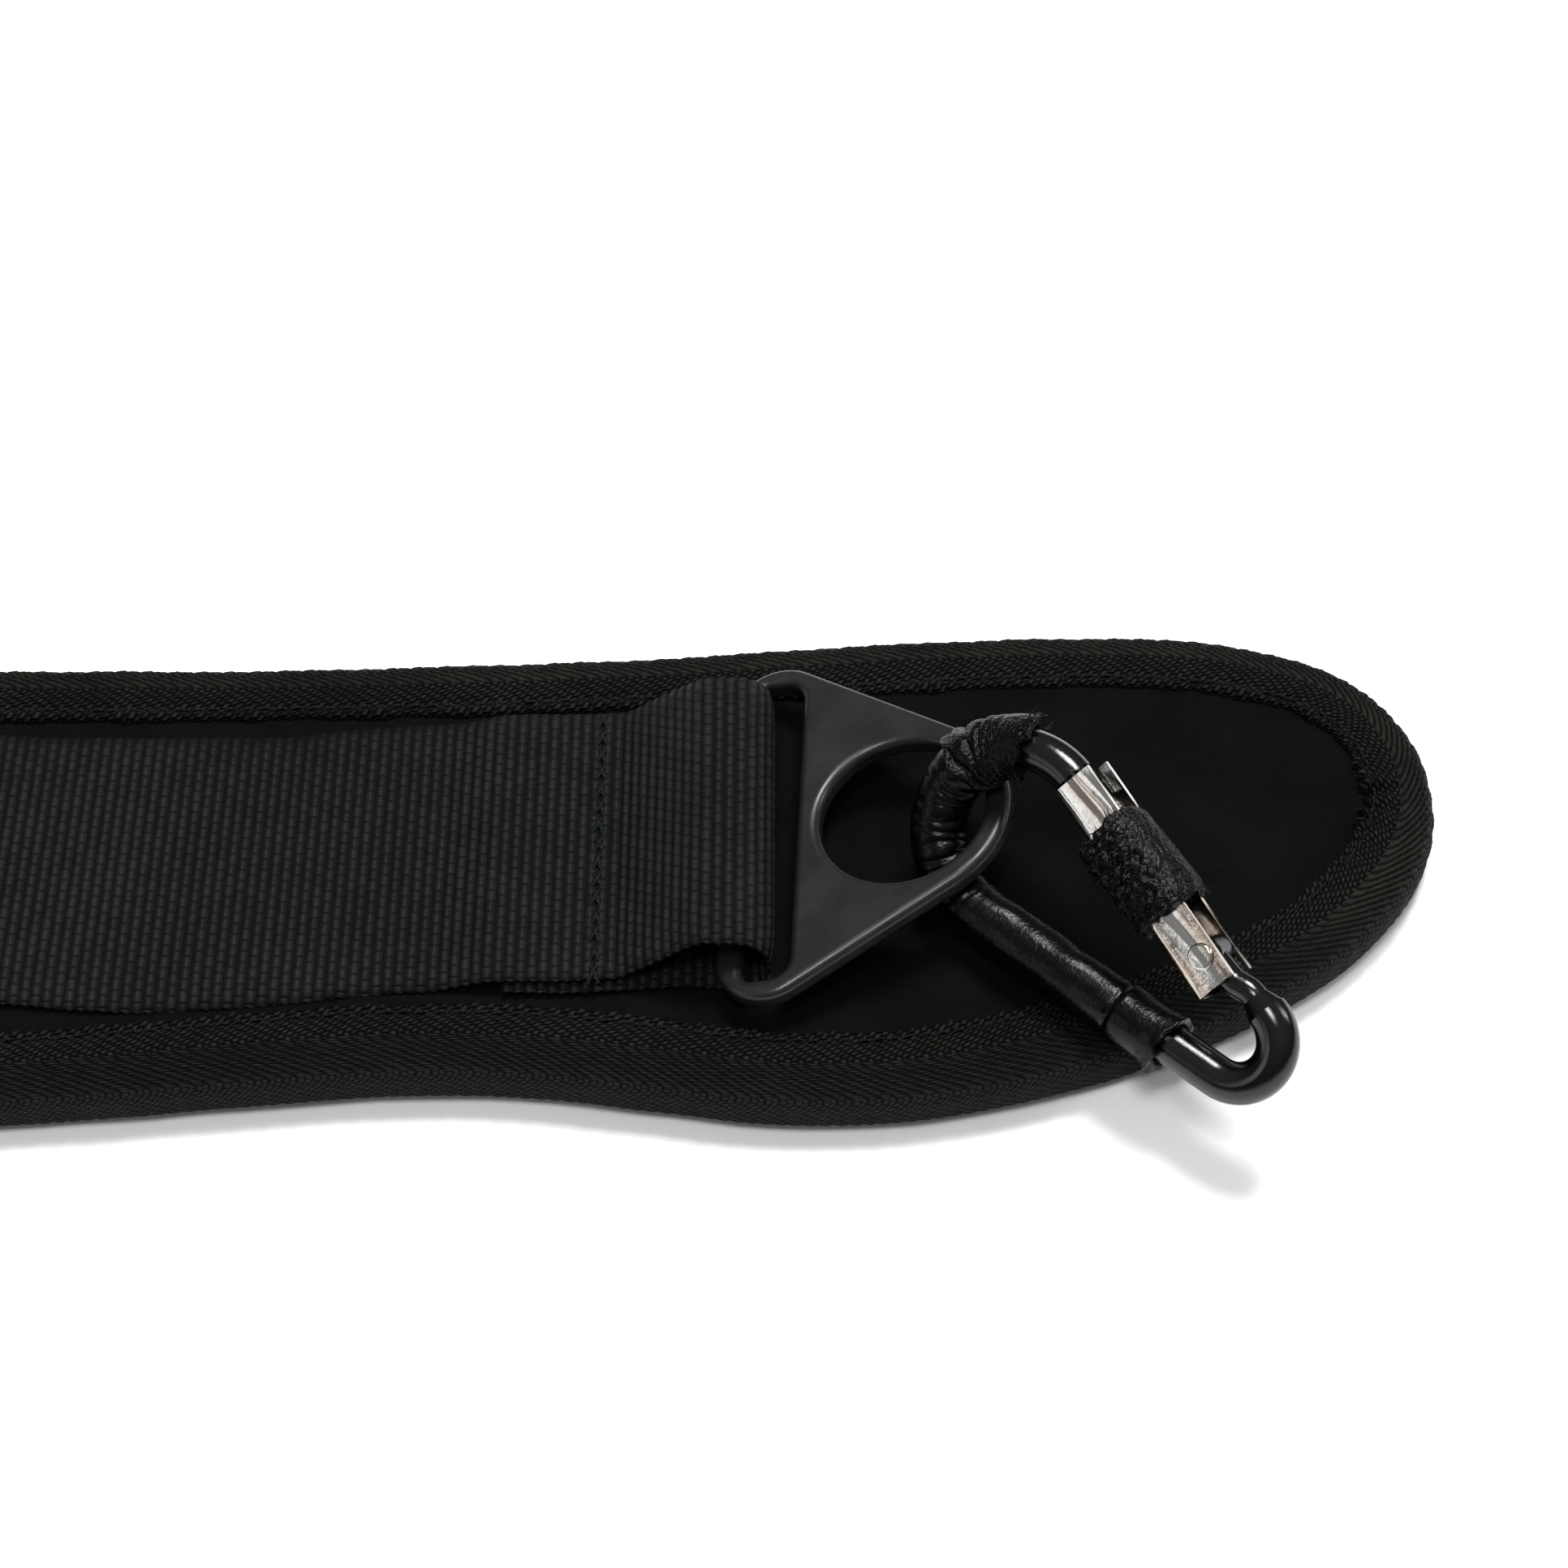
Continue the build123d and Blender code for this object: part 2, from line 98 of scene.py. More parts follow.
def joined(parts):
    """One list of points and faces from several."""
    points, faces, start = [], [], 0
    for part_points, part_faces in parts:
        points.append(part_points)
        faces += [[k + start for k in face] for face in part_faces]
        start += len(part_points)
    return np.concatenate(points), faces


def tube(path, radius, sides, flat=1.0):
    """Points and faces of a capped tube along a path. radius may vary, and flat squeezes its section."""
    path = np.asarray(path, float)
    ahead = unit_rows(np.gradient(path, axis=0))
    up = np.array([0.0, 0.0, 1.0])
    if abs(ahead[:, 2]).max() > 0.9:
        up = np.array([0.31, 0.95, 0.05])
    side = unit_rows(np.cross(ahead, up))
    over = np.cross(side, ahead)
    turn = np.linspace(0, 2 * math.pi, sides, endpoint=False)
    size = np.broadcast_to(radius, len(path))[:, None, None]
    rings = path[:, None] + size * (
        np.cos(turn)[None, :, None] * side[:, None] + flat * np.sin(turn)[None, :, None] * over[:, None]
    )
    points, faces, _ = grid(rings, closed_v=True)
    last = len(points) - sides
    faces.append(list(range(sides))[::-1])
    faces.append(list(range(last, last + sides)))
    return points, faces


def wobble(seed, size, x, waves, longest):
    """Smooth noise over x: a sum of sines with fixed random phases."""
    source = np.random.default_rng(seed)
    total = np.zeros_like(np.asarray(x, float))
    for k in range(waves):
        length = longest / (1 + k * 0.83)
        strength = source.normal() / (1 + k) ** 0.7
        total += strength * np.sin(2 * math.pi * x / length + source.uniform(0, 6.28))
    return size * total / 1.6


# ---------------------------------------------------------------- materials
class Shade:
    """A Principled material and short names for the nodes that feed it."""

    def __init__(self, name, **constants):
        self.material = bpy.data.materials.new(name)
        self.material.use_nodes = True
        self.tree = self.material.node_tree
        self.shader = next(n for n in self.tree.nodes if n.type == "BSDF_PRINCIPLED")
        for socket, value in constants.items():
            self.shader.inputs[socket.replace("_", " ")].default_value = value

    def node(self, kind, inputs=(), **settings):
        made = self.tree.nodes.new("ShaderNode" + kind)
        for key, value in settings.items():
            setattr(made, key, value)
        for key, value in dict(inputs).items():
            if isinstance(value, bpy.types.NodeSocket):
                self.tree.links.new(value, made.inputs[key])
            else:
                made.inputs[key].default_value = value
        return made

    def math(self, operation, *values):
        return self.node("Math", enumerate(values), operation=operation).outputs[0]

    def times(self, a, b):
        return self.math("MULTIPLY", a, b)

    def plus(self, a, b):
        return self.math("ADD", a, b)

    def linear(self, value, slope, start):
        """value times slope, plus start."""
        return self.math("MULTIPLY_ADD", value, slope, start)

    def zigzag(self, value):
        """1 where value is a whole number and 0 half way between two."""
        return self.math("ABSOLUTE", self.linear(self.math("FRACT", value), 2.0, -1.0))

    def parts(self, vector):
        return self.node("SeparateXYZ", {0: vector}).outputs

    def place(self, scale=1 / MM):
        """Object coordinates, in millimetres unless another scale is given."""
        here = self.node("TexCoord").outputs["Object"]
        return self.node("VectorMath", {0: here, "Scale": scale}, operation="SCALE").outputs[0]

    def stretched(self, vector, size):
        return self.node("VectorMath", {0: vector, 1: size}, operation="MULTIPLY").outputs[0]

    def noise(self, vector, scale, detail=2.0, rough=0.5):
        made = self.node("TexNoise", {"Vector": vector, "Scale": scale, "Detail": detail, "Roughness": rough})
        return made.outputs["Fac"]

    def ramp(self, value, *stops):
        """A colour ramp. Each stop is a position and a grey."""
        made = self.node("ValToRGB", {0: value})
        for element, (position, grey) in zip(made.color_ramp.elements, stops):
            element.position = position
            element.color = (grey, grey, grey, 1.0)
        return made.outputs["Color"]

    def between(self, factor, a, b):
        """A mix of two colours."""
        made = self.node("Mix", {0: factor}, data_type="RGBA")
        first, second, mixed = made.inputs[6], made.inputs[7], made.outputs[2]
        for socket, value in ((first, a), (second, b)):
            if isinstance(value, bpy.types.NodeSocket):
                self.tree.links.new(value, socket)
            else:
                socket.default_value = (*value, 1.0)
        return mixed

    def bump(self, height, distance, normal=None):
        inputs = {"Height": height, "Distance": distance, "Strength": 1.0}
        if normal is not None:
            inputs["Normal"] = normal
        return self.node("Bump", inputs).outputs[0]

    def set(self, socket, value):
        self.tree.links.new(value, self.shader.inputs[socket])


def woven(name, dark, light, float_length, rib_bump, thread_bump, wide_ribs=None):
    """Woven tape. Its UV holds the rib's number and the distance along the rib.

    wide_ribs is for the herringbone tape: two distances from its middle, between which its ribs are
    twice as wide and their dots are faint. That tape also has painted shade on its underside and a
    painted highlight along its folded middle.
    """
    if wide_ribs:
        gloss, pick_power, pick_share, black_below = 0.10, 3.0, 0.75, 0.24
    else:
        gloss, pick_power, pick_share, black_below = 0.14, 5.0, 0.45, 0.12
    shade = Shade(name, Specular_IOR_Level=gloss)
    here = shade.place()
    coordinates = shade.parts(shade.node("UVMap", uv_map="weave").outputs[0])
    ribs, distance = coordinates[0], coordinates[1]
    steps_along = shade.math("DIVIDE", distance, float_length)
    if wide_ribs:
        off = shade.math("ABSOLUTE", distance)
        inner = shade.math("LESS_THAN", off, wide_ribs[0])
        outer = shade.math("GREATER_THAN", off, wide_ribs[1])
        dotted = shade.math("MAXIMUM", inner, outer)
        ribs = shade.times(ribs, shade.plus(dotted, 1.0))
        steps_along = shade.times(steps_along, shade.linear(dotted, -1.3, 2.3))
    rib_number = shade.math("FLOOR", ribs)
    rib = shade.math("SUBTRACT", 1.0, shade.math("POWER", shade.zigzag(ribs), 1.7))
    stagger = shade.times(shade.math("MODULO", rib_number, 2.0), 0.5)
    along = shade.plus(steps_along, stagger)
    gap = shade.math("POWER", shade.zigzag(along), pick_power)
    if wide_ribs:
        # the dots are deeper towards the pad's near side
        near_side = shade.ramp(shade.parts(shade.place(-10.0))[1], (0.06, 0.0), (0.20, 0.55))
        gap = shade.times(gap, shade.linear(shade.math("MAXIMUM", dotted, near_side), 0.88, 0.12))
    pick = shade.math("SUBTRACT", 1.0, gap)
    weave = shade.times(rib, shade.linear(pick, pick_share, 1.0 - pick_share))
    cell = shade.node("CombineXYZ", {0: rib_number, 1: shade.math("FLOOR", along)}).outputs[0]
    odd = shade.node("TexWhiteNoise", {"Vector": cell}, noise_dimensions="2D").outputs["Value"]
    patchy = shade.noise(here, 0.05, 3.0)
    fibre = shade.noise(shade.stretched(here, (3.0, 9.0, 3.0)), 1.4, 2.0)
    mask = shade.times(weave, shade.linear(odd, 0.4, 0.6))
    mask = shade.times(mask, shade.linear(patchy, 1.1, 0.4))
    mask = shade.linear(shade.math("SUBTRACT", fibre, 0.5), 0.3, mask)
    if wide_ribs:
        # painted shade: the tape is darker from the lower side of its fold to its underside, towards the floor
        painted_underside_shade = shade.linear(distance, 0.1, 0.6)
        mask = shade.times(mask, shade.ramp(painted_underside_shade, (0.20, 0.35), (0.46, 1.0)))
        # painted highlight: the tape's folded outer wall is made lighter, as the front lamp would light it
        painted_wall_light = shade.ramp(shade.times(off, 0.1), (0.30, 0.75), (0.42, 0.0))
        mask = shade.times(mask, shade.plus(painted_wall_light, 1.0))
    tone = shade.ramp(mask, (black_below, 0.0), (0.85, 1.0))
    shade.set("Base Color", shade.between(tone, dark, light))
    shade.set("Roughness", shade.linear(weave, -0.25, 0.82))
    normal = shade.bump(pick, thread_bump * MM)
    shade.set("Normal", shade.bump(shade.linear(fibre, 0.25, weave), rib_bump * MM, normal))
    return shade.material


def knit(name, dark, light):
    """Smooth neoprene faced with a fine knit."""
    shade = Shade(name, Specular_IOR_Level=0.05)
    here = shade.place()
    axes = shade.parts(here)
    wales = shade.math("SINE", shade.times(axes[0], 9.0))
    courses = shade.math("SINE", shade.times(axes[1], 13.0))
    lines = shade.noise(shade.stretched(here, (1.2, 5.0, 1.0)), 1.0, 3.0, 0.6)
    blotch = shade.noise(here, 0.08, 3.0)
    fleck = shade.noise(here, 3.5, 2.0, 0.7)
    tone = shade.linear(lines, 0.5, shade.times(blotch, 0.5))
    tone = shade.linear(fleck, 0.25, tone)
    shade.set("Base Color", shade.between(shade.ramp(tone, (0.42, 0.0), (0.75, 1.0)), dark, light))
    shade.set("Roughness", shade.ramp(fleck, (0.3, 0.78), (0.7, 0.93)))
    height = shade.linear(shade.times(wales, courses), 0.25, shade.linear(fleck, 0.6, lines))
    shade.set("Normal", shade.bump(height, 0.12 * MM))
    return shade.material


def thread(name, dark, light):
    """Twisted sewing thread with a little fuzz."""
    shade = Shade(name, Specular_IOR_Level=0.2)
    here = shade.place()
    strands = {"Vector": here, "Scale": 1.1, "Distortion": 1.5, "Detail": 2.0}
    twist = shade.node("TexWave", strands, bands_direction="DIAGONAL").outputs["Fac"]
    fuzz = shade.noise(here, 2.5, 3.0)
    shade.set("Base Color", shade.between(shade.times(twist, fuzz), dark, light))
    shade.set("Roughness", shade.ramp(fuzz, (0.3, 0.5), (0.7, 0.75)))
    shade.set("Normal", shade.bump(shade.plus(twist, fuzz), 0.12 * MM))
    return shade.material


def leather(name, dark, light, gloss, grain, smooth, dull):
    """Thin black leather with fine grain, creases, and lighter patches and specks that are partly rubbed wear and
    partly painted highlights.

    grain is the depth of its relief, and smooth and dull are its least and most roughness.
    """
    shade = Shade(name, Specular_IOR_Level=gloss)
    here = shade.place()
    drift = shade.node("TexNoise", {"Vector": here, "Scale": 0.9}).outputs["Color"]
    warped = shade.node("VectorMath", {0: here, 1: drift}, operation="ADD").outputs[0]
    pores = shade.node("TexVoronoi", {"Vector": warped, "Scale": 1.5}).outputs["Distance"]
    fine = shade.noise(here, 2.3, 2.0, 0.55)
    broad = shade.noise(here, 0.28, 4.0, 0.6)
    # lighter patches and specks: partly rubbed leather, partly painted highlights
    fine_rub_and_glint = shade.ramp(fine, (0.48, 0.0), (0.72, 1.0))
    broad_rub_and_sheen = shade.ramp(broad, (0.42, 0.1), (0.68, 1.0))
    shade.set("Base Color", shade.between(shade.times(fine_rub_and_glint, broad_rub_and_sheen), dark, light))
    wear = shade.plus(shade.times(broad, 0.6), shade.times(fine, 0.4))
    shade.set("Roughness", shade.ramp(wear, (0.3, smooth), (0.72, dull)))
    creases = shade.noise(shade.stretched(here, (1.0, 1.0, 1.6)), 0.7, 3.0, 0.55)
    height = shade.plus(shade.times(pores, 0.5), shade.plus(fine, shade.times(creases, 1.2)))
    shade.set("Normal", shade.bump(height, grain * MM))
    return shade.material


def enamel(name, colour, roughness, speck, peel, shine, dust=0.0):
    """Paint over metal: a faint ripple, tiny specks and patches that are rubbed smoother.

    speck is how much brighter the specks are, and peel the depth of the ripple.
    """
    shade = Shade(name, Specular_IOR_Level=shine)
    here = shade.place()
    ripple = shade.noise(here, 0.55, 3.0)
    grit = shade.noise(here, 6.0, 3.0, 0.7)
    wear = shade.noise(here, 0.12, 4.0, 0.6)
    lighter = tuple(c * speck for c in colour)
    tone = shade.ramp(shade.linear(grit, 0.5, shade.times(wear, 0.5)), (0.42, 0.0), (0.72, 1.0))
    shade.set("Base Color", shade.between(tone, colour, lighter))
    shade.set("Roughness", shade.ramp(wear, (0.35, roughness * 0.85), (0.7, roughness * 1.25 + dust)))
    height = shade.linear(grit, 0.35, shade.times(ripple, 0.65))
    shade.set("Normal", shade.bump(height, peel * MM))
    return shade.material


def chrome(name, along, across, out):
    """Polished plating on folded sheet: long shallow waves, dull smears and a brown tinge in places.

    along, across and out are the sheet's own directions.
    """
    shade = Shade(name, Metallic=1.0)
    here = shade.place()
    steps = []
    for way, scale in ((along, 0.05), (across, 0.36), (out, 0.36)):
        scaled = tuple(float(c) * scale for c in way)
        made = shade.node("VectorMath", {0: here, 1: scaled}, operation="DOT_PRODUCT")
        steps.append(made.outputs["Value"])
    drawn = shade.node("CombineXYZ", enumerate(steps)).outputs[0]
    waves = shade.noise(drawn, 1.0, 1.0)
    smear = shade.noise(here, 0.35, 4.0, 0.65)
    fine = shade.noise(here, 3.0, 4.0, 0.7)
    tinge = shade.ramp(shade.noise(drawn, 0.8, 2.0), (0.45, 0.0), (0.65, 1.0))
    base = shade.between(tinge, (0.60, 0.59, 0.57), (0.50, 0.42, 0.36))
    specks = shade.ramp(fine, (0.60, 0.0), (0.76, 1.0))
    shade.set("Base Color", shade.between(specks, base, (0.34, 0.33, 0.31)))
    dulled = shade.linear(smear, 0.7, shade.times(fine, 0.3))
    shade.set("Roughness", shade.ramp(dulled, (0.36, 0.05), (0.66, 0.20)))
    normal = shade.bump(shade.linear(fine, 0.2, smear), 0.05 * MM)
    shade.set("Normal", shade.bump(waves, 0.75 * MM, normal))
    return shade.material


# The hook's plane faces along hook_out. The gate runs along gate_way, and gate_in points into the hook.
hook_at = np.array(joints["hook_swing"]["pos_m"]) / MM
hook_out = unit(np.array(joints["hook_swing"]["axis"], float))
gate_at = np.array(joints["gate_hinge"]["pos_m"]) / MM
sleeve_low, sleeve_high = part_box("gate_sleeve")
sleeve_middle = (np.array(sleeve_low) + np.array(sleeve_high)) / 2 / MM
gate_way = sleeve_middle - gate_at
gate_way = unit(gate_way - hook_out * (gate_way @ hook_out))
gate_in = np.cross(hook_out, gate_way)

webbing_weave = woven(
    "webbing_weave", dark=(0.0004, 0.0005, 0.0003), light=(0.0098, 0.0103, 0.0086),
    float_length=1.9, rib_bump=0.26, thread_bump=0.10,
)
tape_weave = woven(
    "tape_weave", dark=(0.0002, 0.0002, 0.0001), light=(0.0125, 0.0128, 0.0100),
    float_length=0.84, rib_bump=0.26, thread_bump=0.24, wide_ribs=(3.5, 8.9),
)
pad_knit = knit("pad_knit", dark=(0.0003, 0.0004, 0.0004), light=(0.0026, 0.0031, 0.0028))
black_thread = thread("black_thread", dark=(0.0006, 0.0006, 0.0005), light=(0.0060, 0.0060, 0.0052))
green_thread = thread("green_thread", dark=(0.0006, 0.0022, 0.0020), light=(0.0028, 0.0088, 0.0077))
tube_leather = leather(
    "tube_leather", dark=(0.0004, 0.0004, 0.0004), light=(0.0030, 0.0031, 0.0030),
    gloss=0.17, grain=0.050, smooth=0.20, dull=0.34,
)
wrap_leather = leather(
    "wrap_leather", dark=(0.0004, 0.0004, 0.0004), light=(0.0026, 0.0027, 0.0026),
    gloss=0.145, grain=0.18, smooth=0.14, dull=0.32,
)
gloss_black = enamel(
    "gloss_black", (0.0012, 0.0012, 0.0010), roughness=0.10, speck=1.6, peel=0.04, shine=0.50
)
satin_ring = enamel(
    "satin_ring", (0.0085, 0.0083, 0.0079), roughness=0.30, speck=1.3, peel=0.03, shine=0.42, dust=0.04
)
slider_plastic = enamel(
    "slider_plastic", (0.0040, 0.0040, 0.0042), roughness=0.42, speck=1.5, peel=0.08, shine=0.4
)
plating = chrome("plating", gate_way, gate_in, hook_out)
bright_steel = chrome("bright_steel", gate_way, gate_in, hook_out)

for node, material in {
    "hook_end_ring": satin_ring,
    "far_end_ring": satin_ring,
    "strap_slider": slider_plastic,
    "hook_body": gloss_black,
    "hook_gate": plating,
    "gate_rivet": bright_steel,
    "gate_spring": bright_steel,
}.items():
    mesh = nodes[node].data
    mesh.materials.clear()
    mesh.materials.append(material)


# ---------------------------------------------------------------- the pad's outline
def smooth_loop(points, count):
    """A closed cubic spline through the points: evenly spaced points, outward normals and its length."""
    steps = np.linalg.norm(np.roll(points, -1, 0) - points, axis=1)
    n = len(points)
    system, right = np.zeros((n, n)), np.zeros((n, 2))
    for i in range(n):
        before, after = steps[i - 1], steps[i]
        system[i, i - 1] += before
        system[i, i] += 2 * (before + after)
        system[i, (i + 1) % n] += after
        right[i] = 6 * ((points[(i + 1) % n] - points[i]) / after - (points[i] - points[i - 1]) / before)
    bend = np.linalg.solve(system, right)
    starts = np.concatenate([[0], np.cumsum(steps)])
    place = np.linspace(0, starts[-1], count, endpoint=False)
    k = np.searchsorted(starts, place, "right") - 1
    h = steps[k][:, None]
    a = (starts[k + 1] - place)[:, None]
    b = (place - starts[k])[:, None]
    p, q, m, w = points[k], points[(k + 1) % n], bend[k], bend[(k + 1) % n]
    curve = (m * a**3 + w * b**3) / (6 * h) + (p / h - m * h / 6) * a + (q / h - w * h / 6) * b
    ahead = unit_rows((np.roll(curve, -1, 0) - np.roll(curve, 1, 0)) / 2)
    return curve, np.stack([ahead[:, 1], -ahead[:, 0]], -1), starts[-1]


# Heights of the tape's top and of the pad's own face, the radius of the tape's fold, and how far in from
# the pad's edge its lip and its seam are.
PAD_TOP, PAD_FACE, TAPE_ROUND, TAPE_REACH, SEAM_IN = 10.6, 9.4, 4.2, 10.8, 9.4
TAPE_STEPS = 2240
CURVE_SPAN = 6

corner = np.array([v.co for v in nodes["edge_binding"].data.vertices]) / MM
wall = corner[abs(corner[:, 2] - TAPE_ROUND) < 0.06][:, :2]
wall = wall[np.argsort(np.arctan2(wall[:, 1], wall[:, 0]))]
wall = wall[np.linalg.norm(wall - np.roll(wall, 1, 0), axis=1) > 0.8]
edge, outward, edge_length = smooth_loop(wall, TAPE_STEPS)
along_edge = np.arange(TAPE_STEPS) * edge_length / TAPE_STEPS
turning = np.roll(outward, -CURVE_SPAN, 0) - np.roll(outward, CURVE_SPAN, 0)
curvature = np.linalg.norm(turning, axis=1) / (2 * CURVE_SPAN * edge_length / TAPE_STEPS)


# ---------------------------------------------------------------- binding tape
def tape_profile():
    """Points round the folded tape, from its top inner lip to its bottom one.

    Each has its distance in from the pad's edge, its height, and its normal's lean inwards and rise.
    """
    spots = [
        (TAPE_REACH, PAD_FACE - 0.2, 1.0, 0.0),
        (TAPE_REACH, PAD_FACE + 0.7, 1.0, 0.0),
        (TAPE_REACH - 0.25, PAD_TOP - 0.1, 0.7, 0.7),
    ]
    for inset in np.linspace(TAPE_REACH - 0.7, TAPE_ROUND + 0.5, 12):
        spots.append((inset, PAD_TOP, 0.0, 1.0))
    top_turn, bottom_turn = np.linspace(90, 0, 12), np.linspace(0, -90, 8)
    for centre, turn in ((PAD_TOP - TAPE_ROUND, top_turn), (TAPE_ROUND, bottom_turn)):
        for angle in np.radians(turn):
            lean, rise = -math.cos(angle), math.sin(angle)
            spots.append((TAPE_ROUND * (1 + lean), centre + TAPE_ROUND * rise, lean, rise))
    for inset in np.linspace(TAPE_ROUND + 0.9, TAPE_REACH - 0.6, 6):
        spots.append((inset, 0.0, 0.0, -1.0))
    spots += [(TAPE_REACH, 0.3, 0.7, -0.7), (TAPE_REACH, 1.3, 1.0, 0.0)]
    return np.array(spots)


inset, height, lean, rise = tape_profile().T
on_top = height > 5
around = np.concatenate([[0], np.cumsum(np.hypot(np.diff(inset), np.diff(height)))])
middle = np.interp(0, -(height - PAD_TOP / 2)[inset < 0.5], around[inset < 0.5])
around = middle - around                     # over 0 on the top side, under 0 on the underside

# The herringbone: how far its ribs slant, from the middle of the tape to its edges.
TAPE_PITCH = edge_length / round(edge_length / 2.05)
samples = np.linspace(around.min() - 0.1, around.max() + 0.1, 2000)
stripe = np.interp(abs(samples), [0, 2.6, 4.4, 7.8, 9.9, 20], [-0.9, -0.9, 2.3, 2.3, -0.9, -0.9])
slant = np.interp(around, samples, np.concatenate([[0], np.cumsum(stripe[1:] * np.diff(samples))]))
tape_t, tape_v = np.meshgrid(along_edge, around, indexing="ij")
rib_number = (tape_t + slant[None, :] + wobble(12, 0.16, tape_t + tape_v, 6, 23.0)) / TAPE_PITCH
ridge = 1 - (2 * (rib_number % 1) - 1) ** 2
rib_height = np.interp(abs(around), [0, 3.0, 4.5, 8.0, 9.5, 20], [0.30, 0.30, 0.46, 0.46, 0.20, 0.20])
rib_size = np.where(height > 0.4, rib_height, 0.12)
rib_size = rib_size * np.interp(edge[:, 1], [-22, -4], [0.55, 1.0])[:, None]

# The tape swells beside its seam, sinks at it, and puckers where the pad's edge bends.
flange = np.clip((inset - TAPE_ROUND) / (SEAM_IN - TAPE_ROUND), 0, 1)
swell = 0.30 * np.sin(math.pi * flange) * on_top
groove = -0.42 * np.exp(-(((inset - SEAM_IN) / 0.55) ** 2)) * on_top
bend = np.clip(curvature / 0.03, 0, 1)[:, None]
gathered = np.clip((inset - 3.0) / 7.0, 0, 1)[None, :]
lip_share = np.where(lean > 0, 0.25, 1.0)[None, :]
pucker = bend * gathered * wobble(3, 0.34, tape_t + 0.5 * tape_v, 6, 13.0) * lip_share
lie = wobble(5, 0.16, tape_t + 0.8 * tape_v, 6, 60.0)
edge_wave = np.sin(2 * math.pi * along_edge / 4.1)[:, None]
edge_bumps = 0.10 * edge_wave * np.exp(-((around - 2.0) / 3.0) ** 2)

# At the pad's tip the folds fan out from a small pit.
tip_t = along_edge[np.argmax(edge @ np.array([1.0, -0.12]))]
from_tip = tape_t - tip_t
fan = np.cos(2 * math.pi * from_tip / (3.6 + 0.35 * (TAPE_REACH - inset)[None, :]))
fan_reach = np.exp(-((from_tip / 9.0) ** 2))
fan_depth = np.clip((inset - 4.0) / 5.5, 0, 1)[None, :]
pucker = pucker + 0.80 * fan * fan_reach * fan_depth * on_top
pit = -0.9 * np.exp(-((from_tip / 1.3) ** 2)) * np.clip((inset - 7.0) / 2.5, 0, 1)[None, :] * on_top
lift = on_top * (inset > SEAM_IN) * (0.16 + wobble(8, 0.16, tape_t, 5, 17.0)) + pit

out = rib_size * (ridge - 0.75) + edge_bumps + swell + groove + (pucker + lie) * (height > 2) + lift
out = np.where((height < 0.05)[None, :], np.minimum(out, 0.0), out)
reach = inset[None, :] + lean[None, :] * out
tape = np.empty((TAPE_STEPS, len(inset), 3))
tape[:, :, :2] = edge[:, None] - outward[:, None] * reach[:, :, None]
tape[:, :, 2] = np.maximum(height[None, :] + rise[None, :] * out, 0.0)
wrap = np.concatenate([rib_number, rib_number[:1] + edge_length / TAPE_PITCH])
points, faces, uv = grid(tape, closed_u=True, u=wrap, v=np.concatenate([tape_v, tape_v[:1]]))
piece_from("binding_tape", points, faces, "strap", ["edge_binding"], tape_weave, uv)


def seam(name, top, replaced, seed):
    """A row of stitches sunk in the tape, along its inner edge."""
    source = np.random.default_rng(seed)
    count = round(edge_length / 2.5)
    arch = np.sin(np.linspace(0, math.pi, 6))
    level = PAD_TOP - 0.38 + 0.42 * arch if top else 0.42 - 0.25 * arch
    parts = []
    for k in range(count):
        start = edge_length * (k + source.uniform(-0.05, 0.05)) / count
        places = start + np.linspace(0.15, 2.2, 6)
        across = SEAM_IN + source.uniform(-0.12, 0.12) + np.linspace(-0.12, 0.12, 6)
        index = places / edge_length * TAPE_STEPS
        low = np.floor(index).astype(int)
        part = (index - low)[:, None]
        spot = edge[low % TAPE_STEPS] * (1 - part) + edge[(low + 1) % TAPE_STEPS] * part
        path = np.column_stack([spot - outward[low % TAPE_STEPS] * across[:, None], level])
        parts.append(tube(path, 0.26 * (0.55 + 0.45 * arch), 6, 0.8))
    points, faces = joined(parts)
    piece_from(name, points, faces, "strap", [replaced], black_thread)


seam("seam_stitches_top", True, "binding_seam_top", 21)
seam("seam_stitches_bottom", False, "binding_seam_bottom", 22)


# ---------------------------------------------------------------- pad
def coordinates(piece):
    found = np.empty(len(piece.data.vertices) * 3)
    piece.data.vertices.foreach_get("co", found)
    return found.reshape(-1, 3) / MM


def apply_all(piece):
    """The piece's mesh with its modifiers applied, and no modifiers left."""
    graph = bpy.context.evaluated_depsgraph_get()
    mesh = bpy.data.meshes.new_from_object(piece.evaluated_get(graph))
    piece.modifiers.clear()
    piece.data = mesh


def swell_by_cloth(piece):
    """Cloth with a little pressure inside it, run for 20 frames."""
    cloth = piece.modifiers.new("cloth", "CLOTH")
    cloth.settings.quality = 5
    cloth.settings.mass = 0.3
    cloth.settings.tension_stiffness = 20
    cloth.settings.compression_stiffness = 20
    cloth.settings.bending_stiffness = 2.0
    cloth.settings.use_pressure = True
    cloth.settings.uniform_pressure_force = 4.0
    cloth.settings.effector_weights.gravity = 0.0
    scene = bpy.context.scene
    cloth.point_cache.frame_start, cloth.point_cache.frame_end = 1, 20
    for step in range(1, 21):
        scene.frame_set(step)
    apply_all(piece)
    scene.frame_set(1)


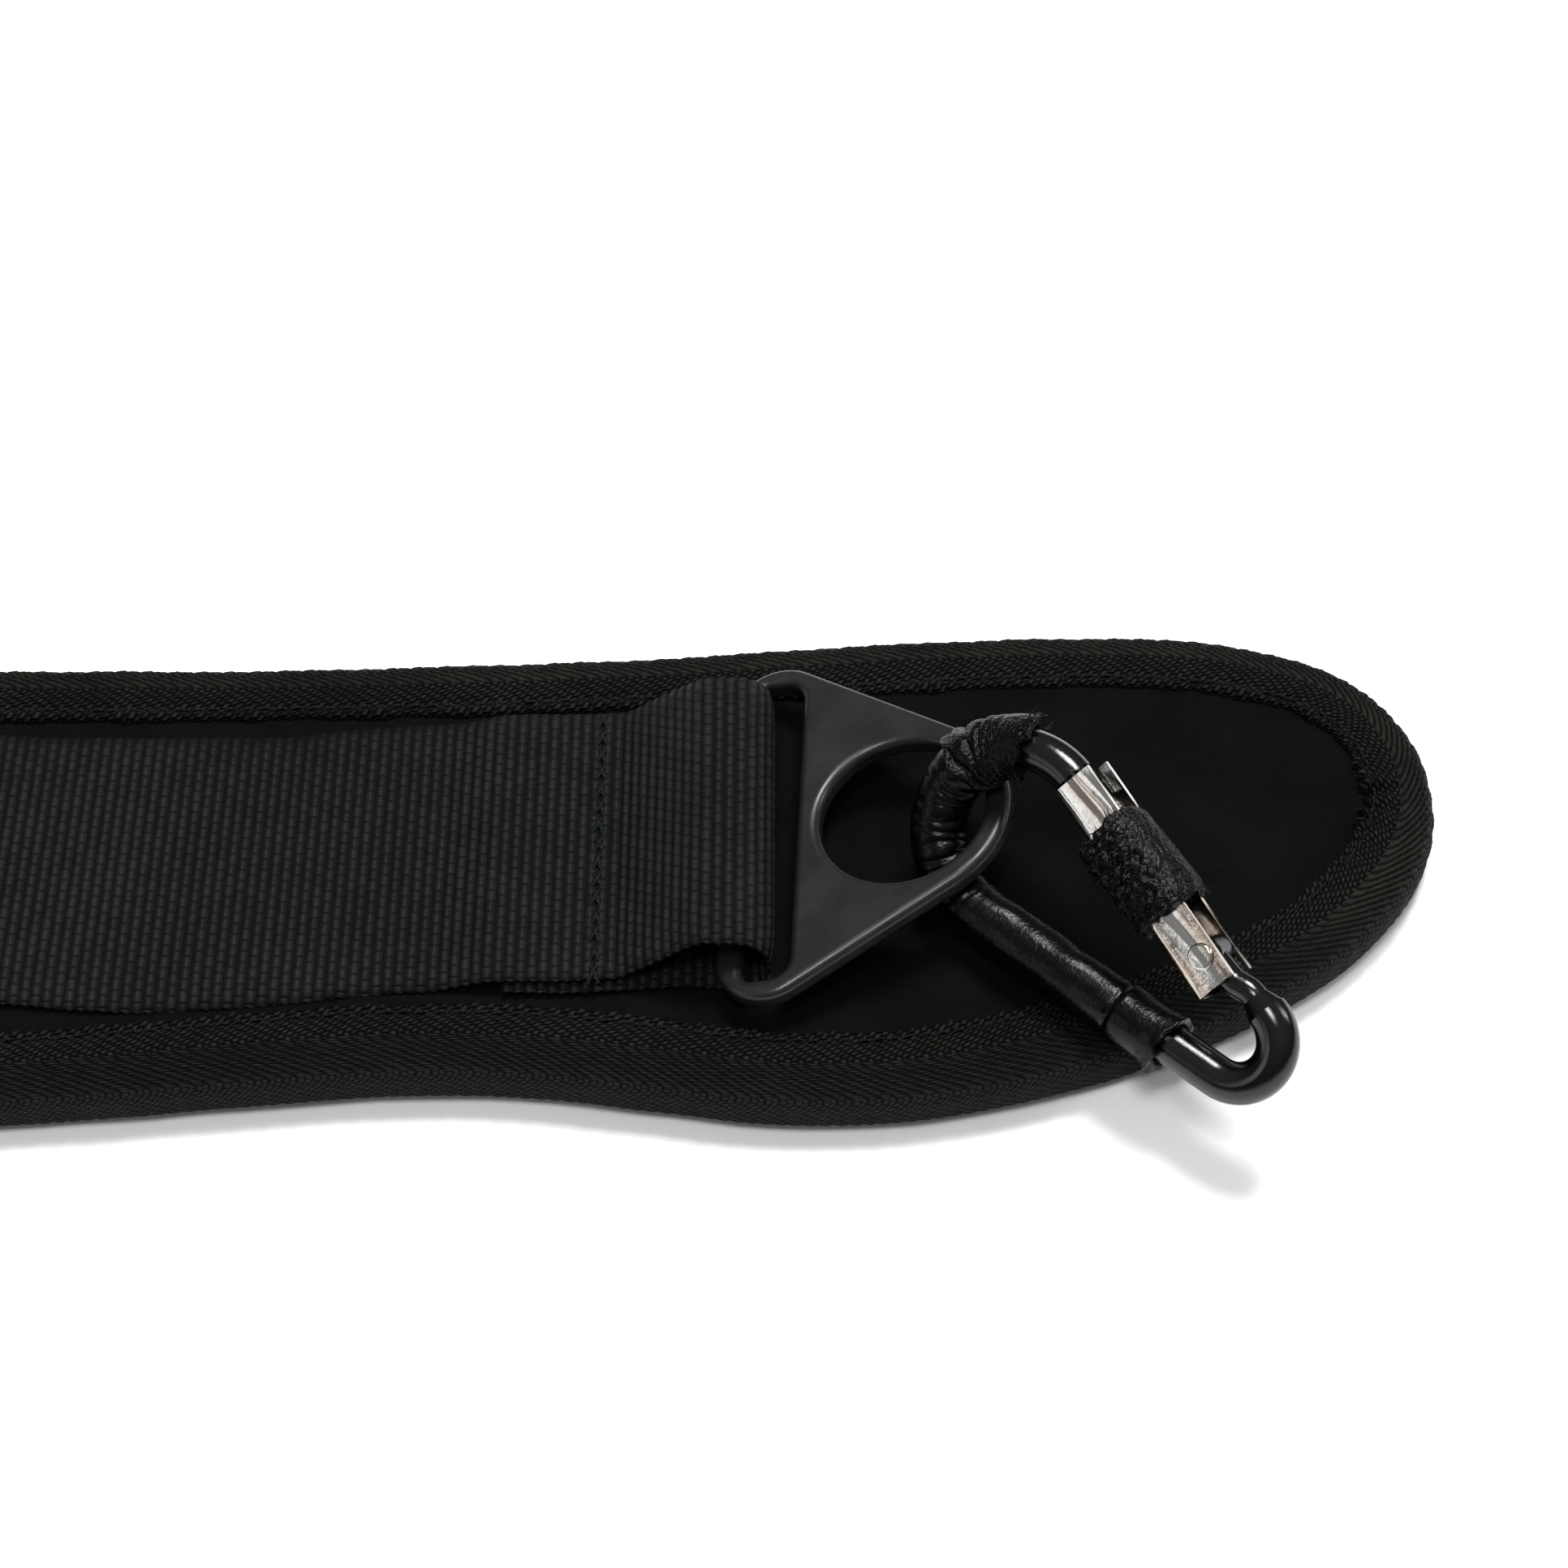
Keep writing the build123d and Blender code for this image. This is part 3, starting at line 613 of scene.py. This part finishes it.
def padded_core():
    """The foam pad with its knit faces: a closed form that swells a little between the bound edges."""
    count, inside_wall, voxel, most_swell = 360, 2.0, 3.2, 0.55
    low, high = 1.35, 9.15
    loop, normal, _ = smooth_loop(wall, count)
    ring = loop - normal * inside_wall
    levels = [low, (low * 2 + high) / 3, (low + high * 2) / 3, high]
    points = np.concatenate([np.column_stack([ring, np.full(count, z)]) for z in levels])
    faces = []
    for level in range(len(levels) - 1):
        here, above = level * count, (level + 1) * count
        for k in range(count):
            n = (k + 1) % count
            faces.append([here + k, here + n, above + n, above + k])
    faces.append(list(range(count))[::-1])
    faces.append(list(range((len(levels) - 1) * count, len(levels) * count)))
    stands_for = ["pad_foam", "pad_top_cover", "pad_bottom_lining"]
    core = piece_from("pad_core", points, faces, "strap", stands_for, pad_knit)
    bpy.context.view_layer.objects.active = core
    remesh = core.modifiers.new("even", "REMESH")
    remesh.mode = "VOXEL"
    remesh.voxel_size = voxel * MM
    apply_all(core)
    core.data.materials.clear()
    core.data.materials.append(pad_knit)
    before = coordinates(core)
    swell_by_cloth(core)
    move = coordinates(core) - before
    size = np.linalg.norm(move, axis=1, keepdims=True)
    after = before + move * np.minimum(1, most_swell / np.maximum(size, 1e-6))
    core.data.vertices.foreach_set("co", (after * MM).ravel())
    smooth = core.modifiers.new("fine", "SUBSURF")
    smooth.levels = smooth.render_levels = 1
    apply_all(core)

    # The top is a little uneven, the strip under the webbing stays low, and the underside is flat.
    x, y, z = coordinates(core).T
    dome = 0.10 * np.sin(x / 23.0) * np.cos(y / 17.0) + 0.08 * np.sin(x / 9.0 + y / 6.0)
    under_webbing = (abs(y - 1.0) < 28.5) & (x < 163) & (z > 5)
    z = np.where(z > 8.2, np.clip(z, 9.05, 9.62) + dome - 0.06, z)
    z = np.where(under_webbing, np.minimum(z, 9.36), z)
    z = np.where(z < 2.0, np.clip(z, 1.0, 1.5), z)
    core.data.vertices.foreach_set("co", (np.column_stack([x, y, z]) * MM).ravel())
    core.data.shade_smooth()
    core.data.update()


padded_core()


# ---------------------------------------------------------------- webbing
def rounded_route(points, radii, step):
    """Evenly spaced points along straight runs joined by tangent arcs, their normals and their distances."""
    dense_step = 0.1
    points = [np.array(p, float) for p in points]
    pieces, here = [], points[0]
    for k in range(1, len(points) - 1):
        radius = radii[k - 1]
        back = unit(points[k - 1] - points[k])
        ahead = unit(points[k + 1] - points[k])
        half = math.acos(np.clip(-back @ ahead, -1, 1)) / 2
        cut = radius * math.tan(half)
        start, end = points[k] + back * cut, points[k] + ahead * cut
        bisector = (back + ahead) / np.linalg.norm(back + ahead)
        centre = points[k] + bisector * radius / math.cos(half)
        run_steps = max(2, int(np.linalg.norm(start - here) / dense_step))
        pieces.append(np.linspace(here, start, run_steps, endpoint=False))
        arc_steps = max(6, int(2 * half * radius / dense_step))
        turn = np.linspace(0, 1, arc_steps, endpoint=False)[:, None]
        a, b = start - centre, end - centre
        arc = (a * np.sin((1 - turn) * 2 * half) + b * np.sin(turn * 2 * half)) / math.sin(2 * half)
        pieces.append(centre + arc)
        here = end
    pieces.append(np.linspace(here, points[-1], max(2, int(np.linalg.norm(points[-1] - here) / dense_step))))
    dense = np.concatenate(pieces)
    length = np.concatenate([[0], np.cumsum(np.linalg.norm(np.diff(dense, axis=0), axis=1))])
    at = np.arange(0, length[-1], step)
    line = np.column_stack([np.interp(at, length, dense[:, k]) for k in (0, 1)])
    ahead = unit_rows(np.gradient(line, axis=0))
    return line, np.column_stack([-ahead[:, 1], ahead[:, 0]]), at


WEB_HALF, WEB_THICK, WEB_PITCH, WEB_STEP, WEB_COLUMNS = 25.0, 1.5, 1.6, 0.4, 24
HALF_THICK = WEB_THICK / 2
BAR_WIDE, BAR_THICK, BAR_ROUND, BAR_GAP = 4.1, 3.7, 1.3, 0.3
# Heights of the middle of the webbing: on the pad, on its own lower layer, over the tape at the pad's far
# end, through the slider and on the floor. Then its returning layer and its folded hem.
FLAT, DOUBLE, OVER, LOW, LAID = 10.15, 11.80, 11.525, 2.95, 0.80
RETURNING = LOW + 1.65
HEM = RETURNING + 1.6
# The loop that goes round the far ring's bar clears the bar when the ring turns.
FAR_BAR_X = -430
BAR_SWING = math.hypot(BAR_WIDE / 2 - BAR_ROUND, BAR_THICK / 2 - BAR_ROUND) + BAR_ROUND
FAR_BAR = LAID + HALF_THICK + BAR_GAP + BAR_SWING
FAR_TOP = FAR_BAR + BAR_SWING + BAR_GAP + HALF_THICK
FAR_FRONT = FAR_BAR_X - BAR_SWING - BAR_GAP - HALF_THICK
FAR_BEND = (FAR_TOP - LAID) / 2 - 0.05
route = [
    (123.5, FLAT), (161.45, FLAT), (161.45, FLAT + 10), (151.95, FLAT + 10), (139.95, DOUBLE),
    (121.5, DOUBLE), (114.5, FLAT), (-198, FLAT), (-206, OVER), (-262, OVER), (-296, LOW), (-404, LOW),
    (-414, LAID), (FAR_FRONT, LAID), (FAR_FRONT, FAR_TOP), (-418, FAR_TOP), (-404, RETURNING),
    (-311.9, RETURNING), (-311.9, HEM), (-323, HEM),
]
route_radii = [3.0, 4.9, 4, 4, 8, 8, 10, 10, 20, 40, 10, 10, FAR_BEND, FAR_BEND, 10, 10, 0.79, 0.79]
line, normal, at = rounded_route(route, route_radii, WEB_STEP)
line_x, line_z = line.T

# The webbing's two edges wander a little, and draw in towards the ring.
near_edge = np.array([
    (-420, -22.6), (0, -22.7), (46, -23.4), (57, -24.2), (65, -25.0), (72, -25.2), (79, -24.7),
    (88, -24.1), (95, -23.4), (101, -22.4), (109, -21.7), (120, -21.2), (131, -21.1), (140, -20.6),
    (150, -19.9), (162, -20.6),
])
far_edge = np.array([
    (-420, 27.4), (0, 26.0), (46, 24.0), (60, 23.6), (90, 23.6), (96, 24.4), (103, 25.4), (112, 26.4),
    (122, 27.2), (131, 26.8), (150, 27.3), (162, 26.9),
])
lower_layer = at < 40
y_low = np.interp(line_x, *near_edge.T) + wobble(31, 0.10, line_x, 5, 46.0) - np.where(lower_layer, 1.0, 0.0)
y_high = np.interp(line_x, *far_edge.T) + wobble(37, 0.10, line_x, 5, 58.0)


def lip_at(side, x):
    """How far across the pad the tape's inner lip is at x, on the near side (-1) or the far side (1)."""
    lips = edge - outward * TAPE_REACH
    lips = lips[lips[:, 1] * side > 0]
    lips = lips[np.argsort(lips[:, 0])]
    return np.interp(x, *lips.T)


near_lip_y, far_lip_y = lip_at(-1, line_x), lip_at(1, line_x)
on_pad = (np.interp(line_x, [-212, -198], [0, 1]) * ((line_x < 165) & (line_z < 13.5)))[:, None]
scallop = 0.16 * np.sin(2 * math.pi * at / WEB_PITCH)
web_rib = 1 - (2 * ((at / WEB_PITCH) % 1) - 1) ** 2
free = np.interp(line_x, [-270, -240, 108, 116], [0.15, 1.0, 1.0, 0.15])
waves = wobble(41, 0.34, line_x, 5, 37.0) + 0.1


def webbing_face(side):
    """Points of the webbing's upper (1) or lower (-1) face. It rides up where it overlaps the tape."""
    columns = np.linspace(-1, 1, WEB_COLUMNS)[::side]
    edge_column = abs(columns) > 0.99
    y = (y_low[:, None] * (1 - columns) + y_high[:, None] * (1 + columns)) / 2
    y = y + np.where(edge_column, columns * scallop[:, None], 0.0)
    thin = np.where(edge_column, 0.35, np.where(abs(columns) > 0.90, 0.85, 1.0))
    half = (HALF_THICK - 0.24 + 0.30 * web_rib[:, None] - 0.03) * thin
    curl = np.clip((-columns - 0.55) / 0.45, 0, 1) ** 1.5 * (free * np.clip(waves, 0, 0.5))[:, None]
    belly = 0.10 * free[:, None] * np.sin(line_x[:, None] / 11.0 + columns * 2.0)
    room = np.minimum(y - near_lip_y[:, None], far_lip_y[:, None] - y)
    over = np.clip((3.0 - room) / 3.4, 0, 1)
    over = over * over * (3 - 2 * over) * 1.7 * on_pad
    offset = side * half + curl + np.maximum(belly, 0) + over
    face = np.empty((len(at), len(columns), 3))
    face[:, :, 0] = line_x[:, None] + normal[:, :1] * offset
    face[:, :, 1] = y
    face[:, :, 2] = line_z[:, None] + normal[:, 1:] * offset
    return face


web_points = np.concatenate([webbing_face(1), webbing_face(-1)], 1)
ring_u = np.repeat(at[:, None] / WEB_PITCH, 2 * WEB_COLUMNS + 1, 1)
ring_v = np.column_stack([web_points[:, :, 1], web_points[:, :1, 1]])
points, faces, uv = grid(web_points, closed_v=True, u=ring_u, v=ring_v)
piece_from("woven_webbing", points, faces, "strap", ["webbing"], webbing_weave, uv)

# ---------------------------------------------------------------- green stitches
ROW_CENTRE, ROW_X, ROW_HALF_WIDTH, ROW_STITCHES = 2.4, 136.5, 0.85, 15
HEM_X, HEM_STITCHES, HEM_PITCH = -320.5, 16, 3.05


def cross_stitches(name, replaced, x, level, seed):
    """A zigzag row of heavy thread that holds the webbing, pulled into the weave."""
    source = np.random.default_rng(seed)
    parts = []
    pitch = 2 * (WEB_HALF - 0.8) / ROW_STITCHES
    t = np.linspace(0, 1, 7)
    arch = np.sin(math.pi * t)
    for k in range(ROW_STITCHES):
        y = ROW_CENTRE - WEB_HALF + 0.8 + pitch * k
        for way in (1, -1):
            lean = way * ROW_HALF_WIDTH
            a = np.array([x - lean + source.uniform(-0.2, 0.2), y + source.uniform(-0.1, 0.2)])
            b = np.array([x + lean * 0.6 + source.uniform(-0.2, 0.2), y + pitch * 0.96])
            flat_path = a[None] * (1 - t[:, None]) + b[None] * t[:, None]
            path = np.column_stack([flat_path, level - 0.28 + 0.48 * arch ** 0.6 + 0.06 * way])
            parts.append(tube(path, 0.36 * (0.6 + 0.4 * arch), 7, 0.7))
    points, faces = joined(parts)
    piece_from(name, points, faces, "strap", [replaced], green_thread)


def hem_row():
    """A plain row of stitches through the folded end of the tail."""
    source = np.random.default_rng(53)
    parts = []
    t = np.linspace(0, 1, 7)
    arch = np.sin(math.pi * t)
    for k in range(HEM_STITCHES):
        y = ROW_CENTRE - 24.2 + HEM_PITCH * k
        x = np.full(7, HEM_X) + source.uniform(-0.12, 0.12)
        path = np.column_stack([x, y + 2.6 * t, HEM + HALF_THICK - 0.25 + 0.42 * arch ** 0.6])
        parts.append(tube(path, 0.3 * (0.6 + 0.4 * arch), 7, 0.7))
    points, faces = joined(parts)
    piece_from("green_row_hem", points, faces, "strap", ["tail_hem_stitches"], green_thread)


cross_stitches("green_row_hook_end", "hook_end_stitches", ROW_X, DOUBLE + HALF_THICK, 51)
cross_stitches("green_row_far_end", "far_end_stitches", -ROW_X, FLAT + HALF_THICK, 52)
hem_row()

# ---------------------------------------------------------------- leather on the hook
small_at = np.array(mounts["hook_small_bend"]["pos_m"]) / MM
hook_x = small_at - hook_at
BEND_DISTANCE = np.linalg.norm(hook_x)
hook_x /= BEND_DISTANCE
hook_y = np.cross(hook_out, hook_x)
BIG_BEND, SMALL_BEND = 12.5, 6.1
TANGENT = math.degrees(math.acos((BIG_BEND - SMALL_BEND) / BEND_DISTANCE))
# Where the two sleeves meet on the big bend, and where the upper one ends, in degrees round it.
SLEEVES_MEET, TORN_END = 168, 118
WIRE_FIT = 3.06
SLEEVE_SIDES = 44


def on_hook(x, y):
    """Points in the hook's own plane, from the middle of its big bend."""
    return hook_at + np.multiply.outer(x, hook_x) + np.multiply.outer(y, hook_y)


def on_big_bend(angle):
    return on_hook(BIG_BEND * np.cos(angle), BIG_BEND * np.sin(angle))


def sleeve(line, profile, wall, lip):
    """A leather tube along a line in the hook's plane, open at both ends and turned in there by lip.

    profile gives its outer radius and how far each point slides along the line.
    """
    steps = np.linalg.norm(np.diff(line, axis=0), axis=1)
    s = np.concatenate([[0], np.cumsum(steps)])
    ahead = unit_rows(np.gradient(line, axis=0))
    side = np.cross(hook_out, ahead)
    turn = np.linspace(0, 2 * math.pi, SLEEVE_SIDES, endpoint=False)
    spin = np.cos(turn)[None, :, None] * side[:, None] + np.sin(turn)[None, :, None] * hook_out
    size, shift = profile(s[:, None], turn[None, :], s[-1])
    outer = line[:, None] + size[:, :, None] * spin + shift[:, :, None] * ahead[:, None]
    n = max(3, int(len(line) * lip / s[-1]))

    def inside(row, share):
        hole = np.maximum(size[row] - wall, WIRE_FIT) * share + WIRE_FIT * (1 - share)
        return line[row] + hole[:, None] * spin[row] + shift[row][:, None] * ahead[row] * share

    def rim(row, share):
        return outer[row] * (1 - share) + inside(row, 1.0) * share

    rows = [
        inside(n, 0.0), inside(n // 2, 0.5), inside(0, 1.0), rim(0, 0.85), rim(0, 0.15), *outer,
        rim(-1, 0.15), rim(-1, 0.85), inside(-1, 1.0), inside(-1 - n // 2, 0.5), inside(-1 - n, 0.0),
    ]
    points, faces, _ = grid(np.stack(rows), closed_v=True)
    return points, faces


def back_sleeve_profile(s, turn, length):
    """Smooth along the bar, gathered into rings round the bend, with a short collar at its open end."""
    bend_length = BIG_BEND * math.radians(360 - TANGENT - SLEEVES_MEET)
    gather = 1 / (1 + np.exp((s - bend_length * 0.92) / 1.6))
    folds = np.abs(np.sin(math.pi * (s + 0.5 * np.sin(turn * 2 + s)) / 2.1)) ** 0.6
    inner_side = 0.55 + 0.45 * np.cos(turn)
    size = 3.98 + gather * 0.42 * (folds - 0.35) * inner_side
    size = size + 0.07 * np.sin(3 * turn + s / 2.3) + 0.05 * np.sin(s / 1.1 + 2 * turn)
    collar = 1 / (1 + np.exp(-(s - (length - 8.5)) / 0.18))
    crease = np.exp(-(((s - (length - 8.9)) / 0.35) ** 2))
    overlap = np.exp(-(((turn - 4.4) / 0.16) ** 2))
    size = size + 0.34 * collar - 0.22 * crease + 0.18 * overlap
    flare = np.clip((s - (length - 3.2)) / 3.2, 0, 1) ** 1.5
    size = size + flare * (0.45 + 0.30 * np.cos(turn - 2.4))
    ragged = np.clip((s - (length - 2.2)) / 2.2, 0, 1)
    size = size + ragged * (0.25 * np.sin(2 * turn + 1) + 0.16 * np.sin(5 * turn))
    shift = ragged * (0.5 * np.sin(turn + 2.0) + 0.35 * np.sin(4 * turn) + 0.18 * np.sin(11 * turn))
    return size, shift


def bend_sleeve_profile(s, turn, length):
    """A wider piece of leather, wrinkled where it meets the other and torn at its upper end."""
    low = np.clip(1.3 - s / 6.5, 0, 1)
    folds = np.abs(np.sin(math.pi * (s + 0.7 * np.sin(turn + 0.8 * s)) / 1.6)) ** 0.7
    size = 4.5 + 0.95 * low * (folds - 0.45) + 0.14 * np.sin(2 * turn + 0.5) + 0.09 * np.sin(5 * turn + s)
    top = np.clip((s - (length - 3.0)) / 3.0, 0, 1)
    size = size + top * (0.30 + 0.28 * np.sin(3 * turn + 2) + 0.2 * np.sin(7 * turn))
    tear = 0.8 * np.sin(turn + 0.6) + 0.5 * np.sin(3 * turn) + 0.3 * np.sin(8 * turn)
    bottom = np.clip(1 - s / 1.5, 0, 1)
    return size, top * tear - bottom * 0.5 * np.sin(5 * turn)


def scraps(seed, where, directions, count, length, width):
    """Short torn slivers and fibres of leather that stand up from an edge."""
    source = np.random.default_rng(seed)
    made = []
    for _ in range(count):
        k = source.integers(len(where))
        root = where[k]
        way = unit(directions[k] + source.normal(0, 0.45, 3))
        curl = np.cross(way, source.normal(0, 1, 3))
        reach = length * source.uniform(0.4, 1.3)
        t = np.linspace(0, 1, 6)[:, None]
        path = root + way * reach * t + curl * reach * 0.4 * t**2
        made.append(tube(path, width * source.uniform(0.5, 1.3) * (1.15 - t[:, 0]), 5))
    return made


BAR_REACH = 34.0
arc = on_big_bend(np.radians(np.linspace(SLEEVES_MEET, 360 - TANGENT, 90)))
bar_start = on_big_bend(math.radians(-TANGENT))
slope = math.radians(90 - TANGENT)
bar_way = math.cos(slope) * hook_x + math.sin(slope) * hook_y
bar_length = BAR_REACH / math.sin(math.radians(TANGENT))
bar = bar_start + np.linspace(0, bar_length, 100)[1:, None] * bar_way
points, faces = sleeve(np.concatenate([arc, bar]), back_sleeve_profile, wall=0.85, lip=3.0)
piece_from("leather_back_sleeve", points, faces, "hook", ["back_bar_sleeve"], tube_leather)

angle = np.radians(TORN_END)
torn = on_big_bend(angle)
end_side = math.cos(angle) * hook_x + math.sin(angle) * hook_y
end_ahead = math.sin(angle) * hook_x + math.cos(angle) * hook_y
rim, rim_way = [], []
for k in np.linspace(0, 2 * math.pi, 30, endpoint=False):
    radial = math.cos(k) * end_side + math.sin(k) * hook_out
    rim.append(torn + radial * 4.9)
    rim_way.append(radial * 0.8 + end_ahead * 0.6)
bend_arc = on_big_bend(np.radians(np.linspace(SLEEVES_MEET, TORN_END, 70)))
parts = [sleeve(bend_arc, bend_sleeve_profile, wall=1.1, lip=2.0)]
parts += scraps(61, rim, rim_way, count=34, length=1.6, width=0.16)
points, faces = joined(parts)
piece_from("leather_bend_sleeve", points, faces, "hook", ["bend_sleeve"], wrap_leather)


def gate_sleeve_parts():
    """A sleeve glued round the gate: smooth outside, with a rough overlapped seam and torn fibres inside."""
    from_pivot, length, radius, hole_radius = 7.8, 14.4, 5.40, 3.7
    rows, sides = 110, 150
    start = gate_at + gate_in * ((sleeve_middle - gate_at) @ gate_in)
    s = np.linspace(0, length, rows)
    turn = np.linspace(0, 2 * math.pi, sides, endpoint=False)
    source = np.random.default_rng(71)
    rough_at = math.radians(58)
    near = np.exp(-((np.angle(np.exp(1j * (turn - rough_at))) / 0.95) ** 2))
    lumps = np.zeros((rows, sides))
    for _ in range(90):
        a, b = source.uniform(0.4, 3.6), source.integers(1, 26)
        strength = source.normal(0, 1)
        lengthwise = np.sin(a * s[:, None] + source.uniform(0, 6.3))
        lumps += strength * lengthwise * np.sin(b * turn[None] + source.uniform(0, 6.3))
    lumps /= 9.0
    grit = source.normal(0, 1, (rows, sides))
    spread = grit
    for step, axis in ((1, 0), (1, 1), (-1, 0), (-1, 1)):
        spread = spread + np.roll(grit, step, axis)
    grit = spread / 2.6
    size = radius + 0.10 * np.sin(2 * turn[None] + s[:, None] / 6)
    size = size + near[None] * (0.62 * lumps + 0.16 * grit + 0.2)
    size = size + 0.05 * lumps
    ends = np.clip(1 - s / 1.6, 0, 1) + np.clip(1 - (s[-1] - s) / 1.6, 0, 1)
    size = size - 0.35 * (ends**2)[:, None] + ends[:, None] * 0.12 * np.sin(7 * turn[None])
    ragged = np.clip(1 - s / 3, 0, 1)[:, None] * -1.0 + np.clip(1 - (s[-1] - s) / 3, 0, 1)[:, None]
    shift = ragged * (0.45 * np.sin(3 * turn + 1)[None] + 0.35 * near[None] * np.sin(13 * turn)[None] + 0.3)
    spin = np.cos(turn)[None, :, None] * gate_in + np.sin(turn)[None, :, None] * hook_out
    base = start + (from_pivot + s)[:, None] * gate_way
    outer = base[:, None] + size[:, :, None] * spin + shift[:, :, None] * gate_way

    def hole(row):
        return base[row][None] + hole_radius * spin[0]

    first, last = outer[0], outer[-1]
    sleeve_rows = [
        hole(8), first * 0.25 + hole(0) * 0.75, first * 0.8 + hole(0) * 0.2, *outer,
        last * 0.8 + hole(-1) * 0.2, last * 0.25 + hole(-1) * 0.75, hole(-9),
    ]
    points, faces, _ = grid(np.stack(sleeve_rows), closed_v=True)
    rough = [(i, j) for i in range(4, rows - 4, 3) for j in range(sides) if near[j] > 0.45]
    roots = [outer[i, j] for i, j in rough]
    ways = [spin[0, j] for _, j in rough]
    every_other = range(0, sides, 2)
    end_roots = [first[j] for j in every_other] + [last[j] for j in every_other]
    end_ways = [spin[0, j] * 0.6 + way * gate_way for way in (-1, 1) for j in every_other]
    made = [(points, faces)]
    made += scraps(72, roots, ways, count=420, length=0.80, width=0.10)
    made += scraps(73, end_roots, end_ways, count=60, length=0.9, width=0.09)
    return made


points, faces = joined(gate_sleeve_parts())
piece_from("leather_gate_sleeve", points, faces, "gate", ["gate_sleeve"], wrap_leather)

# ---------------------------------------------------------------- floor, light and camera
FLOOR_HALF, FLOOR_LEVEL = 3, -0.0003
floor_mesh = bpy.data.meshes.new("floor")
square = ((-1, -1), (1, -1), (1, 1), (-1, 1))
floor_corners = [(x * FLOOR_HALF, y * FLOOR_HALF, FLOOR_LEVEL) for x, y in square]
floor_mesh.from_pydata(floor_corners, [], [(0, 1, 2, 3)])
floor = bpy.data.objects.new("floor", floor_mesh)
bpy.context.scene.collection.objects.link(floor)
paper = Shade("paper", Roughness=0.7)
paper_tone = paper.noise(paper.place(1.0), 6.0, 3.0)
paper.set("Base Color", paper.ramp(paper_tone, (0.3, 0.90), (0.7, 0.93)))
floor_mesh.materials.append(paper.material)

world = bpy.data.worlds.new("studio")
bpy.context.scene.world = world
world.use_nodes = True
sky = world.node_tree.nodes
background = sky["Background"]
background.inputs["Strength"].default_value = 0.42
ramp = sky.new("ShaderNodeValToRGB")
split = sky.new("ShaderNodeSeparateXYZ")
direction = sky.new("ShaderNodeTexCoord")
world.node_tree.links.new(direction.outputs["Generated"], split.inputs[0])
world.node_tree.links.new(split.outputs["Z"], ramp.inputs[0])
world.node_tree.links.new(ramp.outputs["Color"], background.inputs["Color"])
darker, lighter = ramp.color_ramp.elements
darker.position, darker.color = 0.12, (0.22, 0.22, 0.22, 1)
lighter.position, lighter.color = 0.75, (0.80, 0.81, 0.82, 1)


def area_light(name, place, target, size, energy):
    data = bpy.data.lights.new(name, "AREA")
    data.shape = "RECTANGLE"
    data.size, data.size_y = size
    data.energy = energy
    lamp = bpy.data.objects.new(name, data)
    bpy.context.scene.collection.objects.link(lamp)
    lamp.location = place
    lamp.rotation_euler = (Vector(target) - Vector(place)).to_track_quat("-Z", "Y").to_euler()


area_light("overhead", (0.30, 0.30, 1.0), (0.16, 0.0, 0.0), (0.30, 0.30), 11.0)
area_light("front", (0.10, -0.34, 0.98), (0.16, 0.0, 0.0), (0.22, 0.22), 4.5)
area_light("left", (-0.72, -0.38, 0.30), (0.2, 0.0, 0.0), (0.34, 0.40), 0.6)
area_light("window", (0.95, 0.15, 0.55), (0.2, 0.0, 0.0), (0.16, 0.34), 1.6)

IMAGE_WIDTH, FOCAL_PIXELS, SENSOR_WIDTH = 1932, 4200, 36.0
CAMERA_DISTANCE = 0.5122
camera_data = bpy.data.cameras.new("camera")
camera_data.sensor_width = SENSOR_WIDTH
camera_data.lens = FOCAL_PIXELS / IMAGE_WIDTH * SENSOR_WIDTH
camera_data.clip_start, camera_data.clip_end = 0.02, 20.0
camera = bpy.data.objects.new("camera", camera_data)
bpy.context.scene.collection.objects.link(camera)
elevation = math.radians(53.0)
target = Vector((0.1635, 0.019, 0.005))
back = Vector((0.0, -math.cos(elevation), math.sin(elevation)))
camera.location = target + back * CAMERA_DISTANCE
camera.rotation_mode = "QUATERNION"
camera.rotation_quaternion = (-back).to_track_quat("-Z", "Y")
bpy.context.scene.camera = camera
bpy.context.scene.view_settings.view_transform = "Standard"
